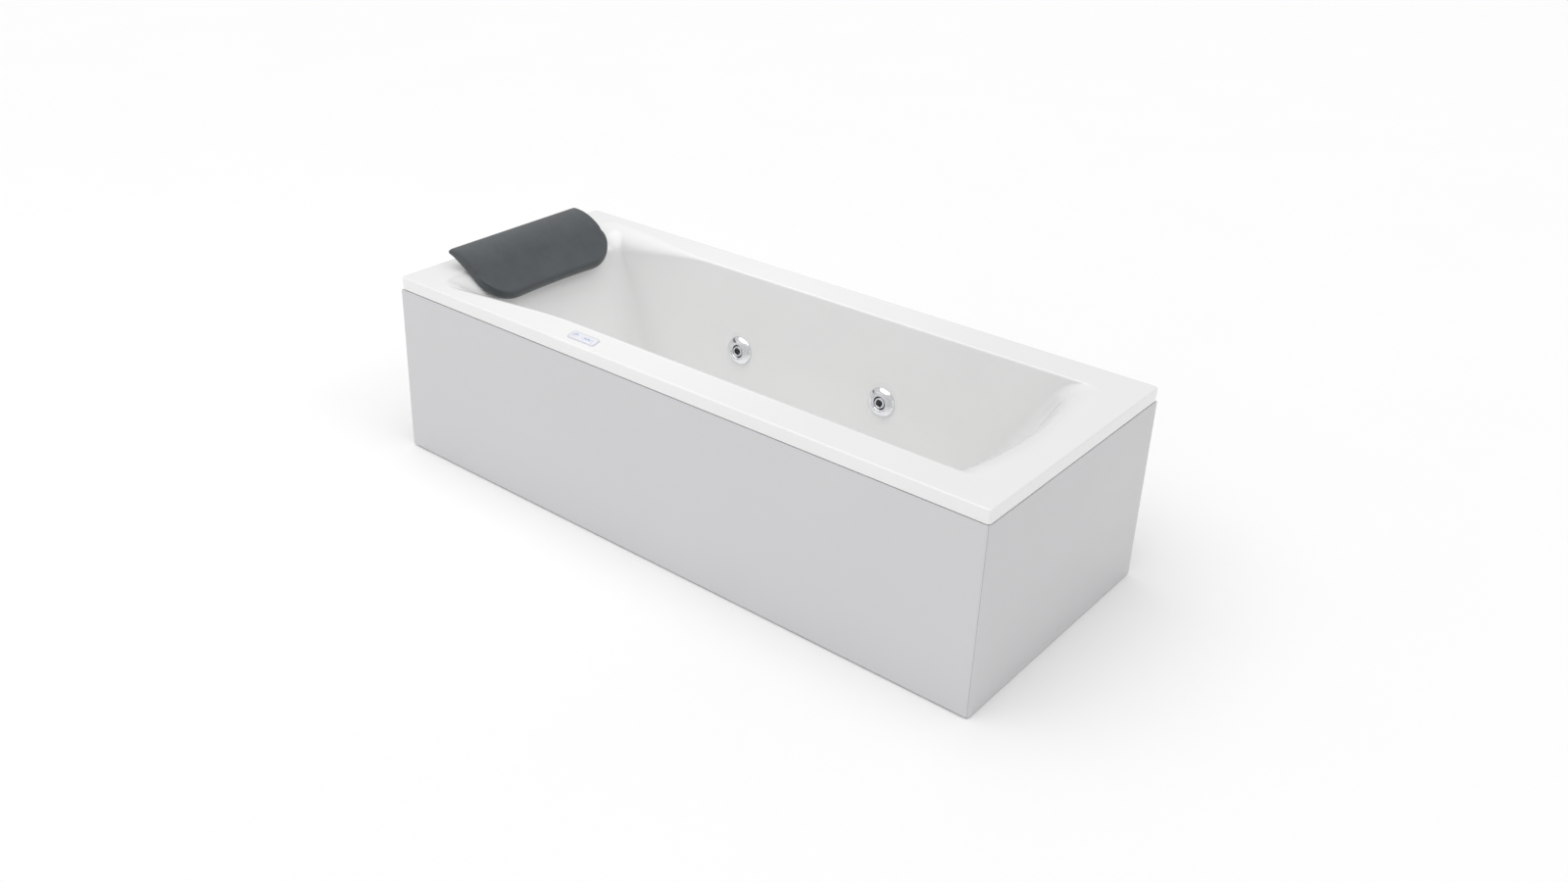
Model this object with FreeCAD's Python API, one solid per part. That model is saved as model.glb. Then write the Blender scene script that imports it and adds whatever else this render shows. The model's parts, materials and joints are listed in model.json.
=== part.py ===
"""Rectangular jetted bathtub with a head cushion, two panels, pump, pipework and steel frame.

Millimetres. +X runs from the head end to the foot end, the panelled front faces -Y and the
wall side +Y, +Z is up. The origin is on the floor under the middle of the rim.
"""
import FreeCAD, Part
import math
import os

V = FreeCAD.Vector
X_DIR = V(1, 0, 0)
Y_DIR = V(0, 1, 0)
Z_DIR = V(0, 0, 1)

# ---------------------------------------------------------------- driving sizes: shell
length = 1700.0             # rim, head to foot
width = 700.0               # rim, front to wall
height = 480.0              # floor to the top of the deck
skirt_height = 33.0         # turned-down edge of the rim
skirt_draft = 1.0           # how much the skirt leans in at its lower edge
rim_corner_radius = 9.0     # rim corners in plan
rim_edge_radius = 4.0       # rounded top edge of the rim
shell_wall = 6.0            # acrylic with its reinforcement
basin_floor_level = 85.0    # floor to the basin floor, room for board, frame and trap
side_deck = 93.0            # deck along the front and the wall side
side_lean = 5.2             # degrees that the side walls lean
head_deck = 62.0            # flat deck at the head end, on the centre line
head_roll = 90.0            # radius from the deck into the backrest
head_slope = 69.5           # degrees of the backrest from level
head_bow = 1100.0           # radius of the head end in plan
foot_deck = 50.0            # flat deck at the foot end, on the centre line
foot_roll = 100.0           # radius from the deck into the foot slope
foot_slope = 60.0           # degrees of the foot slope from level
foot_bow = 920.0            # radius of the foot end in plan
corner_at_deck = 35.0       # basin corner radius at the deck
corner_at_floor = 85.0      # basin corner radius at the floor
floor_round = 60.0          # radius from the walls into the floor

# ---------------------------------------------------------------- driving sizes: panels
panel_thickness = 5.0
panel_return = 25.0         # folded flange along the top and bottom of a panel
panel_joint = 1.5           # shadow joint between rim and panel
front_panel_lift = 4.0      # floor to the front panel
end_panel_lift = 2.0        # floor to the end panel
panel_mitre_gap = 0.3
clip_width = 24.0
clip_metal = 2.0
front_clip_margin = 150.0   # rim end to the outermost clips on the front
front_clip_count = 5
end_clip_margin = 150.0     # rim side to the clips on the foot end
bracket_metal = 3.0
bracket_width = 25.0
bracket_head_margin = 150.0 # rail end to the first front bracket
bracket_middle = -60.0
bracket_foot_margin = 70.0
end_bracket_overlap = 60.0  # length of an end bracket that lies under its rail

# ---------------------------------------------------------------- driving sizes: frame
board_thickness = 18.0
board_head_margin = 330.0   # rim end to the board
board_foot_margin = 380.0
board_half = 205.0
rail_size = 30.0            # square tube
rail_wall = 2.0
rail_offset = 185.0         # centre line to a rail's middle
rail_head_margin = 50.0     # rim end to the rails
rail_foot_margin = 260.0
crossbar_inset = 40.0       # board's head end to the first crossbar
crossbar_middle = -60.0
crossbar_to_drain = 90.0    # last crossbar to the drain
foot_head_inset = 40.0      # rail end to the first levelling foot
foot_middle = -90.0
foot_foot_inset = 30.0
foot_pad_radius = 21.0
foot_pad_height = 9.0
foot_bolt_radius = 5.0
foot_bolt_above = 12.0      # bolt end standing inside the rail above the nut
nut_across = 17.0
nut_height = 8.0
bolt_clearance = 0.3
shelf_margin = 35.0         # rim end to the shelf
shelf_length = 210.0
shelf_half = 202.0
shelf_thickness = 12.0

# ---------------------------------------------------------------- driving sizes: jets
jet_spots = (-222.0, 222.0)     # both long walls
jet_level = 271.0               # floor to a jet's centre
jet_face_radius = 37.5
jet_face_dome = 10.0
jet_flange_radius = 32.0
jet_flange_height = 2.0
jet_barrel_radius = 24.0
jet_bore_radius = 18.5
jet_sleeve_depth = 16.0
jet_ball_radius = 15.0
jet_ball_centre = 3.0           # ball centre in front of the wall
jet_ball_flat = 8.0             # ball centre to its flat front
jet_nozzle_radius = 9.0
jet_seat_gap = 0.2
jet_face_gap = 0.3
turn_clearance = 0.05
jet_housing_radius = 29.0
jet_housing_end = 56.0
jet_nut_radius = 33.0
jet_nut_height = 8.0
jet_pipe_behind = 48.0          # wall to the middle of the water pipe
jet_air_behind = 30.0
jet_air_rise = 46.0             # jet axis to the air hose
jet_saddle_half = 34.0
water_pipe_radius = 16.0
water_pipe_wall = 2.4
water_elbow = 62.0          # bend of the water pipe's middle line
air_hose_radius = 8.0
air_hose_wall = 1.6
glue_gap = 0.15

# ---------------------------------------------------------------- driving sizes: suction, pump
suction_spot = -345.0
suction_pipe_gap = 9.0      # suction housing below the water pipe, before the wall's lean
suction_face_radius = 50.0
suction_face_dome = 11.0
suction_flange_height = 2.0
suction_barrel_radius = 30.0
suction_behind = 46.0
suction_body_radius = 36.0
suction_body_end = 84.0
suction_pipe_radius = 25.0
suction_pipe_wall = 3.0
pump_margin = 135.0         # rim end to the pump's axis
pump_elbow = 74.0           # pump's axis to the end of the suction pipe's slope
slope_share = 0.42          # level part of the suction pipe's way to the pump
pump_inlet_y = -192.0
volute_radius = 70.0
volute_length = 52.0
volute_wall = 7.0
discharge_length = 22.0
impeller_radius = 48.0
impeller_width = 14.0
impeller_blades = 6
motor_radius = 54.0
motor_wall = 5.0
motor_length = 150.0
motor_end_wall = 12.0
motor_gap = 16.0            # lantern between volute and motor
fin_count = 24
fin_height = 5.0
fin_width = 2.0
shaft_radius = 7.0
bearing_radius = 16.0
bearing_width = 9.0
rotor_core_radius = 29.0
air_gap = 0.6
winding_overhang = 12.0
fan_radius = 44.0
fan_thickness = 14.0
fan_cover_length = 34.0
fan_cover_wall = 2.0
cradle_rise = 14.0          # shelf to the lowest part of the motor fins
cradle_width = 84.0
cradle_foot = 6.0
terminal_box_height = 30.0
terminal_box_start = 40.0   # motor's front to the terminal box
terminal_box_length = 68.0
terminal_box_half = 36.0
tee_half = 36.0
tee_radius = 21.0
intake_margin = 34.0        # rim end to the air intake
intake_radius = 20.0
intake_height = 58.0
intake_stub = 24.0
hose_drop = 50.0            # deck to the air hoses under it
hose_rise_margin = 210.0    # rim end to where the hoses start to rise

# ---------------------------------------------------------------- driving sizes: waste, overflow
drain_to_rounding = 54.2    # drain to where the floor's foot end starts to round up
drain_flange_radius = 35.0
drain_hole_radius = 26.0
drain_throat_radius = 22.0
drain_lip = 2.0
plug_radius = 30.0
plug_thickness = 4.0
plug_stem_radius = 4.0
plug_travel = 10.0
drain_body_radius = 34.0
drain_body_bottom = 12.0    # above the floor
waste_level = 36.0          # waste pipe's middle above the floor
waste_pipe_radius = 20.0
waste_pipe_wall = 2.5
trap_y = 95.0
trap_radius = 38.0
trap_bottom = 8.0
trap_top = 96.0
trap_outlet_level = 60.0    # outlet's middle above the floor
waste_outlet_y = 205.0
waste_outlet_length = 35.0
overflow_depth = 125.0
overflow_hole_radius = 24.0
overflow_knob_radius = 35.0
overflow_knob_thickness = 8.0
overflow_lift = 1.2         # knob's back in front of the wall
overflow_stem_radius = 5.0
overflow_body_radius = 32.0
overflow_body_depth = 32.0
overflow_pipe_radius = 15.0
overflow_port_length = 40.0
cable_side = 27.0           # pull cable beside the overflow pipe
cable_radius = 2.5
cable_boss_drop = 14.0      # cable's boss above the overflow port's lower end
cable_level = 42.0          # the cable's level run above the floor

# ---------------------------------------------------------------- driving sizes: controls
keypad_x = -240.0
keypad_margin = 39.0        # rim's front edge to the keypad's middle
keypad_length = 84.0
keypad_width = 36.0
keypad_skew = 9.0
keypad_corner = 7.0
keypad_thickness = 2.4
keypad_housing_depth = 17.0
keypad_housing_inset = 7.0
button_thickness = 3.2
button_travel = 0.8
button_proud = 0.5
button_gap = 0.2
round_button_x = -26.0      # from the keypad's middle
round_button_radius = 9.0
bar_button_x = 12.0
bar_button_length = 34.0
bar_button_width = 13.0
box_y = 157.0
box_width = 66.0
box_length = 140.0
box_height = 76.0
keypad_cable_radius = 2.5
keypad_cable_drop = 18.0    # deck to the cable
keypad_cable_margin = 65.0  # rim end to where it crosses under the head deck
keypad_gland_offset = 47.0  # pump's axis to the keypad cable's gland
supply_gland_rise = 32.0    # shelf to the supply gland, in the box's head end
supply_hole_radius = 4.0
gland_across = 18.0
gland_length = 10.0
pump_cable_radius = 3.0

# ---------------------------------------------------------------- driving sizes: cushion
cushion_half = 225.0
cushion_back_margin = 44.0  # rim end to the upper edge
cushion_back_rise = 50.0    # upper edge above the deck
cushion_bend_margin = 137.0 # rim end to where the wave turns from crest to hollow
cushion_bend_rise = 20.0
cushion_toe_margin = 212.0  # rim end to the lower edge in the basin
cushion_toe_drop = 46.0     # lower edge below the deck
cushion_crest = 9.0         # bulge of the upper half of the wave
cushion_hollow = 2.0        # dip of the lower half of the wave
cushion_edge = 13.0         # thickness at the upper edge
cushion_toe_bulk = 36.0     # thickness at the lower edge
cushion_bulk = 60.0         # thickness at the bend before the shell shapes the underside
cushion_side_bulk = 20.0    # thickness along the sides
cushion_side_reach = 110.0  # how far in from the sides it grows to the full thickness
cushion_side_round = 9.0    # width of the rounding along the sides
cushion_side_fall = 5.5     # height lost over that rounding
cushion_toe_round = 90.0    # corners of the lower edge
cushion_toe_hollow = 8.0    # how far the lower edge is drawn up in its middle
cushion_gap = 0.5
peg_margin = 53.0           # rim end to the pegs
peg_offset = 95.0
peg_radius = 6.0
peg_foot = 28.0             # how far a peg reaches below the deck
peg_rise = 40.0             # how far a peg reaches above the deck, into the cushion

# ---------------------------------------------------------------- places worked out from the sizes
half_length = length / 2
half_width = width / 2
deck_underside = height - shell_wall
skirt_bottom = height - skirt_height
basin_half = half_width - side_deck
basin_depth = height - basin_floor_level
floor_top = basin_floor_level
floor_underside = floor_top - shell_wall
board_bottom = floor_underside - board_thickness
rail_bottom = board_bottom - rail_size
panel_top = skirt_bottom - panel_joint
board_head = board_head_margin - half_length
board_foot = half_length - board_foot_margin
rail_head = rail_head_margin - half_length
rail_foot = half_length - rail_foot_margin
foot_spots = (rail_head + foot_head_inset, foot_middle, rail_foot - foot_foot_inset)
front_bracket_spots = (rail_head + bracket_head_margin, bracket_middle, rail_foot - bracket_foot_margin)
jet_depth = height - jet_level
suction_depth = jet_depth + suction_body_radius + water_pipe_radius + suction_pipe_gap
pump_x = pump_margin - half_length
intake_x = intake_margin - half_length
hose_level = height - hose_drop
keypad_y = keypad_margin - half_width
keypad_gland_x = pump_x - keypad_gland_offset
peg_x = peg_margin - half_length
lean = math.radians(side_lean)
side_skin = shell_wall * (math.cos(lean) + math.sin(lean))
foot_angle = math.radians(foot_slope)
foot_skin = shell_wall * (math.sin(foot_angle) + math.cos(foot_angle))
shelf_top = board_bottom + shelf_thickness
motor_axis = shelf_top + cradle_rise + motor_radius + fin_height


# ---------------------------------------------------------------- plain shapes
def block(x0, x1, y0, y1, z0, z1):
    """A box between two corners."""
    return Part.makeBox(x1 - x0, y1 - y0, z1 - z0, V(x0, y0, z0))


def rod(radius, start, direction, reach):
    """A round bar from a point along a direction."""
    return Part.makeCylinder(radius, reach, V(*start), direction)


def tube(radius, bore, start, direction, reach):
    """A straight tube, open at both ends."""
    return rod(radius, start, direction, reach).cut(rod(bore, start, direction, reach))


def prism(points, depth):
    """A closed outline of points, extruded along a vector."""
    wire = Part.makePolygon([V(*p) for p in points] + [V(*points[0])])
    return Part.Face(wire).extrude(depth)


def hexagon(across, start, direction, reach):
    """A hexagonal bar, measured across its flats."""
    corner = across / math.sqrt(3)
    turn = FreeCAD.Rotation(Z_DIR, direction)
    points = []
    for k in range(6):
        angle = math.radians(60 * k)
        points.append(turn.multVec(V(corner * math.cos(angle), corner * math.sin(angle), 0)) + V(*start))
    return Part.Face(Part.makePolygon(points + points[:1])).extrude(V(direction) * reach)


def spun(profile):
    """A solid of revolution about local Z from (radius, height) points."""
    wire = Part.makePolygon([V(r, 0, z) for r, z in profile] + [V(profile[0][0], 0, profile[0][1])])
    return Part.Face(wire).revolve(V(0, 0, 0), Z_DIR, 360)


def rounded_plate(half_x, half_y, corner, z0, z1, middle=(0.0, 0.0), skew=0.0):
    """A plate with rounded corners; skew slides its far side along X."""
    cx, cy = middle
    slide = skew / (2 * half_y)
    body = block(cx - half_x, cx + half_x, cy - half_y, cy + half_y, z0, z1)
    uprights = [e for e in body.Edges if abs(e.Vertexes[0].Z - e.Vertexes[-1].Z) > 1e-6]
    body = body.makeFillet(corner, uprights)
    if skew:
        shear = FreeCAD.Matrix(1, slide, 0, -slide * cy, 0, 1, 0, 0, 0, 0, 1, 0, 0, 0, 0, 1)
        body = body.transformGeometry(shear)
    return body


def compound(pieces):
    """Like pieces that share one node."""
    return Part.makeCompound(pieces)


def set_at(shape, origin, normal, along):
    """Moves a shape from its local frame: local Z onto normal, local X onto along."""
    side = normal.cross(along)
    matrix = FreeCAD.Matrix(
        along.x, side.x, normal.x, origin.x,
        along.y, side.y, normal.y, origin.y,
        along.z, side.z, normal.z, origin.z,
        0, 0, 0, 1)
    moved = shape.copy()
    moved.Placement = FreeCAD.Placement(matrix)
    return moved


# ---------------------------------------------------------------- pipes and cables
def route(points):
    """Straight runs joined by tangent arcs, each arc as large as its two runs allow."""
    spots = [V(*p) for p in points]
    edges = []
    start = spots[0]
    radii = []
    for before, corner, after in zip(spots, spots[1:], spots[2:]):
        back = (before - corner).normalize()
        ahead = (after - corner).normalize()
        reach = 0.45 * min(before.distanceToPoint(corner), corner.distanceToPoint(after))
        half_turn = (math.pi - back.getAngle(ahead)) / 2
        radius = reach / math.tan(half_turn)
        inward = (back + ahead).normalize()
        arc_start = corner + back * reach
        arc_end = corner + ahead * reach
        arc_middle = corner + inward * (radius / math.cos(half_turn) - radius)
        edges.append(Part.LineSegment(start, arc_start).toShape())
        edges.append(Part.Arc(arc_start, arc_middle, arc_end).toShape())
        radii.append(radius)
        start = arc_end
    edges.append(Part.LineSegment(start, spots[-1]).toShape())
    return Part.Wire(edges), radii


def swept(points, radius, bore=0.0):
    """A pipe, hose or cable along a route, hollow where it has a bore."""
    path, radii = route(points)
    start = V(*points[0])
    heading = V(*points[1]) - start
    outer = path.makePipeShell([Part.Wire(Part.makeCircle(radius, start, heading))], True, False)
    if radii:
        print("route radii", [round(r) for r in radii], "of a tube of radius", radius)
    if not bore:
        return outer
    inner = path.makePipeShell([Part.Wire(Part.makeCircle(bore, start, heading))], True, False)
    return outer.cut(inner)


# ---------------------------------------------------------------- basin
def end_run(depth, roll, slope):
    """How far an end wall has come in at a depth: an arc off the deck, then a straight slope."""
    angle = math.radians(slope)
    knee = roll * (1 - math.cos(angle))
    if depth <= knee:
        return math.sqrt(2 * roll * depth - depth * depth)
    return roll * math.sin(angle) + (depth - knee) / math.tan(angle)


def head_x(depth):
    """The backrest on the centre line at a depth."""
    return -half_length + head_deck + end_run(depth, head_roll, head_slope)


def foot_x(depth):
    """The foot slope on the centre line at a depth."""
    return half_length - foot_deck - end_run(depth, foot_roll, foot_slope)


def side_y(depth):
    """Half of the basin's width at a depth."""
    return basin_half - depth * math.tan(lean)


drain_x = foot_x(basin_depth) - floor_round - drain_to_rounding


def end_corner(apex, bow, half, corner, toward):
    """Points of one basin end: on the side line, middle of the corner, on the bow, the apex."""
    centre_x = apex - toward * bow
    corner_y = half - corner
    corner_x = centre_x + toward * math.sqrt((bow - corner) ** 2 - corner_y ** 2)
    bow_angle = math.atan2(corner_y, abs(corner_x - centre_x))
    middle_angle = (bow_angle + math.pi / 2) / 2
    on_side = (corner_x, half)
    mid = (corner_x + toward * corner * math.cos(middle_angle), corner_y + corner * math.sin(middle_angle))
    on_bow = (centre_x + toward * bow * math.cos(bow_angle), bow * math.sin(bow_angle))
    return on_side, mid, on_bow


def basin_wire(depth, inset, grow, drop):
    """The level outline of the basin at a depth, grown outwards and dropped for the outer skin."""
    z = height - depth - drop
    half = side_y(depth) - inset + grow
    depth_share = depth / basin_depth
    corner = corner_at_deck + (corner_at_floor - corner_at_deck) * depth_share - inset + grow
    foot = foot_x(depth) - inset + grow
    head = head_x(depth) + inset - grow
    foot_side, foot_mid, foot_on_bow = end_corner(foot, foot_bow - inset + grow, half, corner, 1)
    head_side, head_mid, head_on_bow = end_corner(head, head_bow - inset + grow, half, corner, -1)

    def at(point, side):
        return V(point[0], side * point[1], z)

    edges = [
        Part.LineSegment(at(head_side, -1), at(foot_side, -1)).toShape(),
        Part.Arc(at(foot_side, -1), at(foot_mid, -1), at(foot_on_bow, -1)).toShape(),
        Part.Arc(at(foot_on_bow, -1), V(foot, 0, z), at(foot_on_bow, 1)).toShape(),
        Part.Arc(at(foot_on_bow, 1), at(foot_mid, 1), at(foot_side, 1)).toShape(),
        Part.LineSegment(at(foot_side, 1), at(head_side, 1)).toShape(),
        Part.Arc(at(head_side, 1), at(head_mid, 1), at(head_on_bow, 1)).toShape(),
        Part.Arc(at(head_on_bow, 1), V(head, 0, z), at(head_on_bow, -1)).toShape(),
        Part.Arc(at(head_on_bow, -1), at(head_mid, -1), at(head_side, -1)).toShape(),
    ]
    return Part.Wire(edges)


def basin(grow, drop, above):
    """The basin's hollow as a solid, grown and dropped, with a straight collar above its top."""
    roll_steps = 7
    wall_steps = 6
    round_steps = 5
    roll_depth = foot_roll / 2
    round_start = basin_depth - floor_round
    levels = [(roll_depth * (k / roll_steps) ** 2, 0.0) for k in range(roll_steps + 1)]
    for k in range(1, wall_steps + 1):
        levels.append((roll_depth + (round_start - roll_depth) * k / wall_steps, 0.0))
    for k in range(1, round_steps + 1):
        angle = math.pi / 2 * k / round_steps
        levels.append((round_start + floor_round * math.sin(angle), floor_round * (1 - math.cos(angle))))
    wires = [basin_wire(depth, inset, grow, drop) for depth, inset in levels]
    bowl = Part.makeLoft(wires, True, False)
    collar = Part.Face(wires[0]).extrude(Z_DIR * above)
    return bowl.fuse(collar)


def wall_frame(x, depth, side):
    """Origin, inward normal and level direction on a long wall; side is +1 at the wall side."""
    origin = V(x, side * side_y(depth), height - depth)
    normal = V(0, -side * math.cos(lean), math.sin(lean))
    return origin, normal, X_DIR * side


def foot_frame(depth):
    """Origin, inward normal and level direction on the foot slope's centre line."""
    origin = V(foot_x(depth), 0, height - depth)
    return origin, V(-math.sin(foot_angle), 0, math.cos(foot_angle)), Y_DIR


def local_point(frame, x, y, z):
    """A point given in a wall frame."""
    origin, normal, along = frame
    return origin + along * x + normal.cross(along) * y + normal * z


def shell():
    """Acrylic tub: deck, skirt and basin in one, with all of its holes."""
    lower = rounded_outline(skirt_bottom, skirt_draft)
    upper = rounded_outline(height, 0.0)
    slab = Part.makeLoft([lower, upper], True, True)
    top_edges = [e for e in slab.Edges if min(v.Z for v in e.Vertexes) > height - 1e-3]
    slab = slab.makeFillet(rim_edge_radius, top_edges)
    pocket = Part.makeLoft([
        rounded_outline(skirt_bottom - 1, skirt_draft + shell_wall),
        rounded_outline(deck_underside, shell_wall)], True, True)
    slab = slab.cut(pocket)
    body = slab.fuse(basin(shell_wall, shell_wall, shell_wall / 2))
    body = body.cut(basin(0.0, 0.0, shell_wall))
    holes = []
    for side in (1, -1):
        for x in jet_spots:
            holes.append(wall_hole(jet_barrel_radius, wall_frame(x, jet_depth, side)))
    holes.append(wall_hole(suction_barrel_radius, wall_frame(suction_spot, suction_depth, -1)))
    holes.append(wall_hole(overflow_hole_radius, foot_frame(overflow_depth)))
    holes.append(rod(drain_hole_radius, (drain_x, 0, floor_underside - 2), Z_DIR, shell_wall + 4))
    for side in (1, -1):
        holes.append(rod(peg_radius + turn_clearance, (peg_x, side * peg_offset, deck_underside - 2),
                         Z_DIR, shell_wall + 4))
    holes.append(rounded_plate(keypad_length / 2 - keypad_housing_inset + glue_gap,
                               keypad_width / 2 - keypad_housing_inset + glue_gap, 3,
                               deck_underside - 2, height + 2, (keypad_x, keypad_y)))
    return body.cut(holes)


def rounded_outline(z, inset):
    """The rim's rectangle with rounded corners at a level."""
    hx = half_length - inset
    hy = half_width - inset
    r = max(rim_corner_radius - inset, 2.0)
    d = r * (1 - math.sqrt(0.5))
    edges = []
    corners = [(hx, -hy, 1, -1), (hx, hy, 1, 1), (-hx, hy, -1, 1), (-hx, -hy, -1, -1)]
    ends = []
    for x, y, sx, sy in corners:
        side_point = V(x, y - sy * r, z)
        end_point = V(x - sx * r, y, z)
        middle = V(x - sx * d, y - sy * d, z)
        ends.append((end_point, middle, side_point) if sx * sy < 0 else (side_point, middle, end_point))
    for k, (a, m, b) in enumerate(ends):
        edges.append(Part.Arc(a, m, b).toShape())
        following = ends[(k + 1) % 4][0]
        edges.append(Part.LineSegment(b, following).toShape())
    return Part.Wire(edges)


def wall_hole(radius, frame):
    """A round hole square through a wall."""
    return set_at(rod(radius + bolt_clearance, (0, 0, -4 * shell_wall), Z_DIR, 6 * shell_wall), *frame)


# ---------------------------------------------------------------- panels and their fixings
def panel_blank(lift):
    """Both panels in one: a folded skin round the front, the foot end and their corner."""
    outer = rounded_column(0.0, lift, panel_top)
    cavity = rounded_column(panel_thickness, lift + panel_thickness, panel_top - panel_thickness)
    core = rounded_column(panel_return, lift - 1, panel_top + 1)
    return outer.cut(cavity).cut(core)


def rounded_column(inset, z0, z1):
    """The rim's outline as an upright block, inset on all sides."""
    low = Part.Face(rounded_outline(z0, inset))
    return low.extrude(Z_DIR * (z1 - z0))


def front_panel():
    """Long panel, mitred at the foot corner."""
    reach = panel_return + 5
    edge = half_width
    keep = prism([(-half_length, -edge, 0), (half_length - panel_mitre_gap, -edge, 0),
                  (half_length - reach - panel_mitre_gap, -edge + reach, 0),
                  (-half_length, -edge + reach, 0)], Z_DIR * height)
    head_cut = block(-half_length - 1, -half_length + panel_return, -edge + panel_thickness,
                     edge, -1, height)
    end_skin = block(-half_length - 1, -half_length + rim_corner_radius, -edge - 1, edge, -1, height)
    blank = panel_blank(front_panel_lift).common(keep)
    square_end = panel_section_x(front_panel_lift, -half_length, -half_length + panel_return)
    return blank.cut(head_cut).cut(end_skin).fuse(square_end).removeSplitter()


def panel_section_x(lift, x0, x1):
    """A short straight length of the front panel's folded section."""
    y = -half_width
    skin = block(x0, x1, y, y + panel_thickness, lift, panel_top)
    top = block(x0, x1, y, y + panel_return, panel_top - panel_thickness, panel_top)
    bottom = block(x0, x1, y, y + panel_return, lift, lift + panel_thickness)
    return skin.fuse([top, bottom])


def end_panel():
    """Short panel at the foot end, mitred at the front corner and square at the wall."""
    reach = panel_return + 5
    edge = half_length
    keep = prism([(edge, -half_width + panel_mitre_gap, 0), (edge, half_width, 0),
                  (edge - reach, half_width, 0),
                  (edge - reach, -half_width + reach + panel_mitre_gap, 0)], Z_DIR * height)
    blank = panel_blank(end_panel_lift).common(keep)
    wall_cut = block(edge - reach, edge + 1, half_width - panel_return, half_width + 1, -1, height)
    y0 = half_width - panel_return
    y1 = half_width
    skin = block(edge - panel_thickness, edge, y0, y1, end_panel_lift, panel_top)
    top = block(edge - panel_return, edge, y0, y1, panel_top - panel_thickness, panel_top)
    bottom = block(edge - panel_return, edge, y0, y1, end_panel_lift, end_panel_lift + panel_thickness)
    return blank.cut(wall_cut).fuse([skin, top, bottom]).removeSplitter()


def panel_clip():
    """Bent clip in its own frame: outer face of the panel at y 0, hanging from the deck."""
    back = panel_return + 2
    half = clip_width / 2
    lip_top = panel_top - panel_thickness - bolt_clearance
    upright = block(-half, half, back, back + clip_metal, lip_top - clip_metal, deck_underside)
    head = block(-half, half, back, back + panel_return, deck_underside - clip_metal, deck_underside)
    lip = block(-half, half, panel_thickness + 4, back, lip_top - clip_metal, lip_top)
    return upright.fuse([head, lip]).removeSplitter()


def panel_clips():
    """Spring clips under the deck that hook the panels' top returns."""
    clips = []
    first = half_length - front_clip_margin
    for k in range(front_clip_count):
        x = -first + 2 * first * k / (front_clip_count - 1)
        clips.append(panel_clip().translated(V(x, -half_width, 0)))
    for y in (end_clip_margin - half_width, half_width - end_clip_margin):
        turned = panel_clip().rotated(V(0, 0, 0), Z_DIR, 90)
        clips.append(turned.translated(V(half_length, y, 0)))
    return compound(clips)


def panel_bracket(arm, lift):
    """Bent strip from under a rail to a panel's bottom return; panel's outer face at y 0."""
    half = bracket_width / 2
    under = rail_bottom - bracket_metal
    foot_top = lift + panel_thickness + bracket_metal
    web = panel_return - bracket_metal
    strip = block(-half, half, web, arm, under, rail_bottom)
    upright = block(-half, half, web, panel_return, foot_top - bracket_metal, rail_bottom)
    toe = block(-half, half, panel_thickness + 2, panel_return, foot_top - bracket_metal, foot_top)
    return strip.fuse([upright, toe]).removeSplitter()


def panel_brackets():
    """Strips that hold the panels' lower edges to the frame."""
    brackets = []
    front_arm = half_width - rail_offset + rail_size / 2
    for x in front_bracket_spots:
        brackets.append(panel_bracket(front_arm, front_panel_lift).translated(V(x, -half_width, 0)))
    end_arm = half_length - rail_foot + end_bracket_overlap
    for side in (1, -1):
        turned = panel_bracket(end_arm, end_panel_lift).rotated(V(0, 0, 0), Z_DIR, 90)
        shift = side * (rail_offset - foot_pad_radius / 2)
        bracket = turned.translated(V(half_length, shift, 0))
        brackets.append(bracket.cut(foot_bolt_space(foot_spots[-1], side * rail_offset)))
    return compound(brackets)


# ---------------------------------------------------------------- frame and boards
def base_board():
    """Laminated board that stiffens the basin floor, holed for the drain."""
    board = block(board_head, board_foot, -board_half, board_half, board_bottom, floor_underside)
    board = board.cut(basin(shell_wall, shell_wall, shell_wall))
    hole = rod(drain_body_radius + 6, (drain_x, 0, board_bottom - 1), Z_DIR, board_thickness + 2)
    return board.cut(hole)


def foot_bolt_space(x, y):
    """Clear space for a levelling bolt."""
    return rod(foot_bolt_radius + bolt_clearance, (x, y, 0), Z_DIR, board_bottom)


def frame_rail(side):
    """Square steel tube along one side of the base."""
    y = side * rail_offset
    half = rail_size / 2
    rail = block(rail_head, rail_foot, y - half, y + half, rail_bottom, board_bottom)
    bore = block(rail_head, rail_foot, y - half + rail_wall, y + half - rail_wall,
                 rail_bottom + rail_wall, board_bottom - rail_wall)
    rail = rail.cut(bore)
    for x in foot_spots:
        floor_cut = rod(foot_bolt_radius + bolt_clearance, (x, y, rail_bottom - 1), Z_DIR, rail_wall + 2)
        rail = rail.cut(floor_cut)
    return rail


def frame_crossbars():
    """Square tubes between the two rails."""
    reach = rail_offset - rail_size / 2
    bars = []
    for x in (board_head + crossbar_inset, crossbar_middle, drain_x - crossbar_to_drain):
        half = rail_size / 2
        bar = block(x - half, x + half, -reach, reach, rail_bottom, board_bottom)
        bore = block(x - half + rail_wall, x + half - rail_wall, -reach, reach,
                     rail_bottom + rail_wall, board_bottom - rail_wall)
        bars.append(bar.cut(bore))
    return compound(bars)


def levelling_feet():
    """Six pads, each moulded onto its threaded bolt."""
    feet = []
    bolt_top = rail_bottom + rail_wall + nut_height + foot_bolt_above
    for side in (1, -1):
        for x in foot_spots:
            y = side * rail_offset
            waist = foot_pad_radius * 0.5
            pad = spun([(0, 0), (foot_pad_radius, 0), (foot_pad_radius, foot_pad_height * 0.5),
                        (waist, foot_pad_height), (0, foot_pad_height)])
            bolt = rod(foot_bolt_radius, (0, 0, foot_pad_height), Z_DIR, bolt_top - foot_pad_height)
            feet.append(pad.fuse(bolt).translated(V(x, y, 0)))
    return compound(feet)


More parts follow.
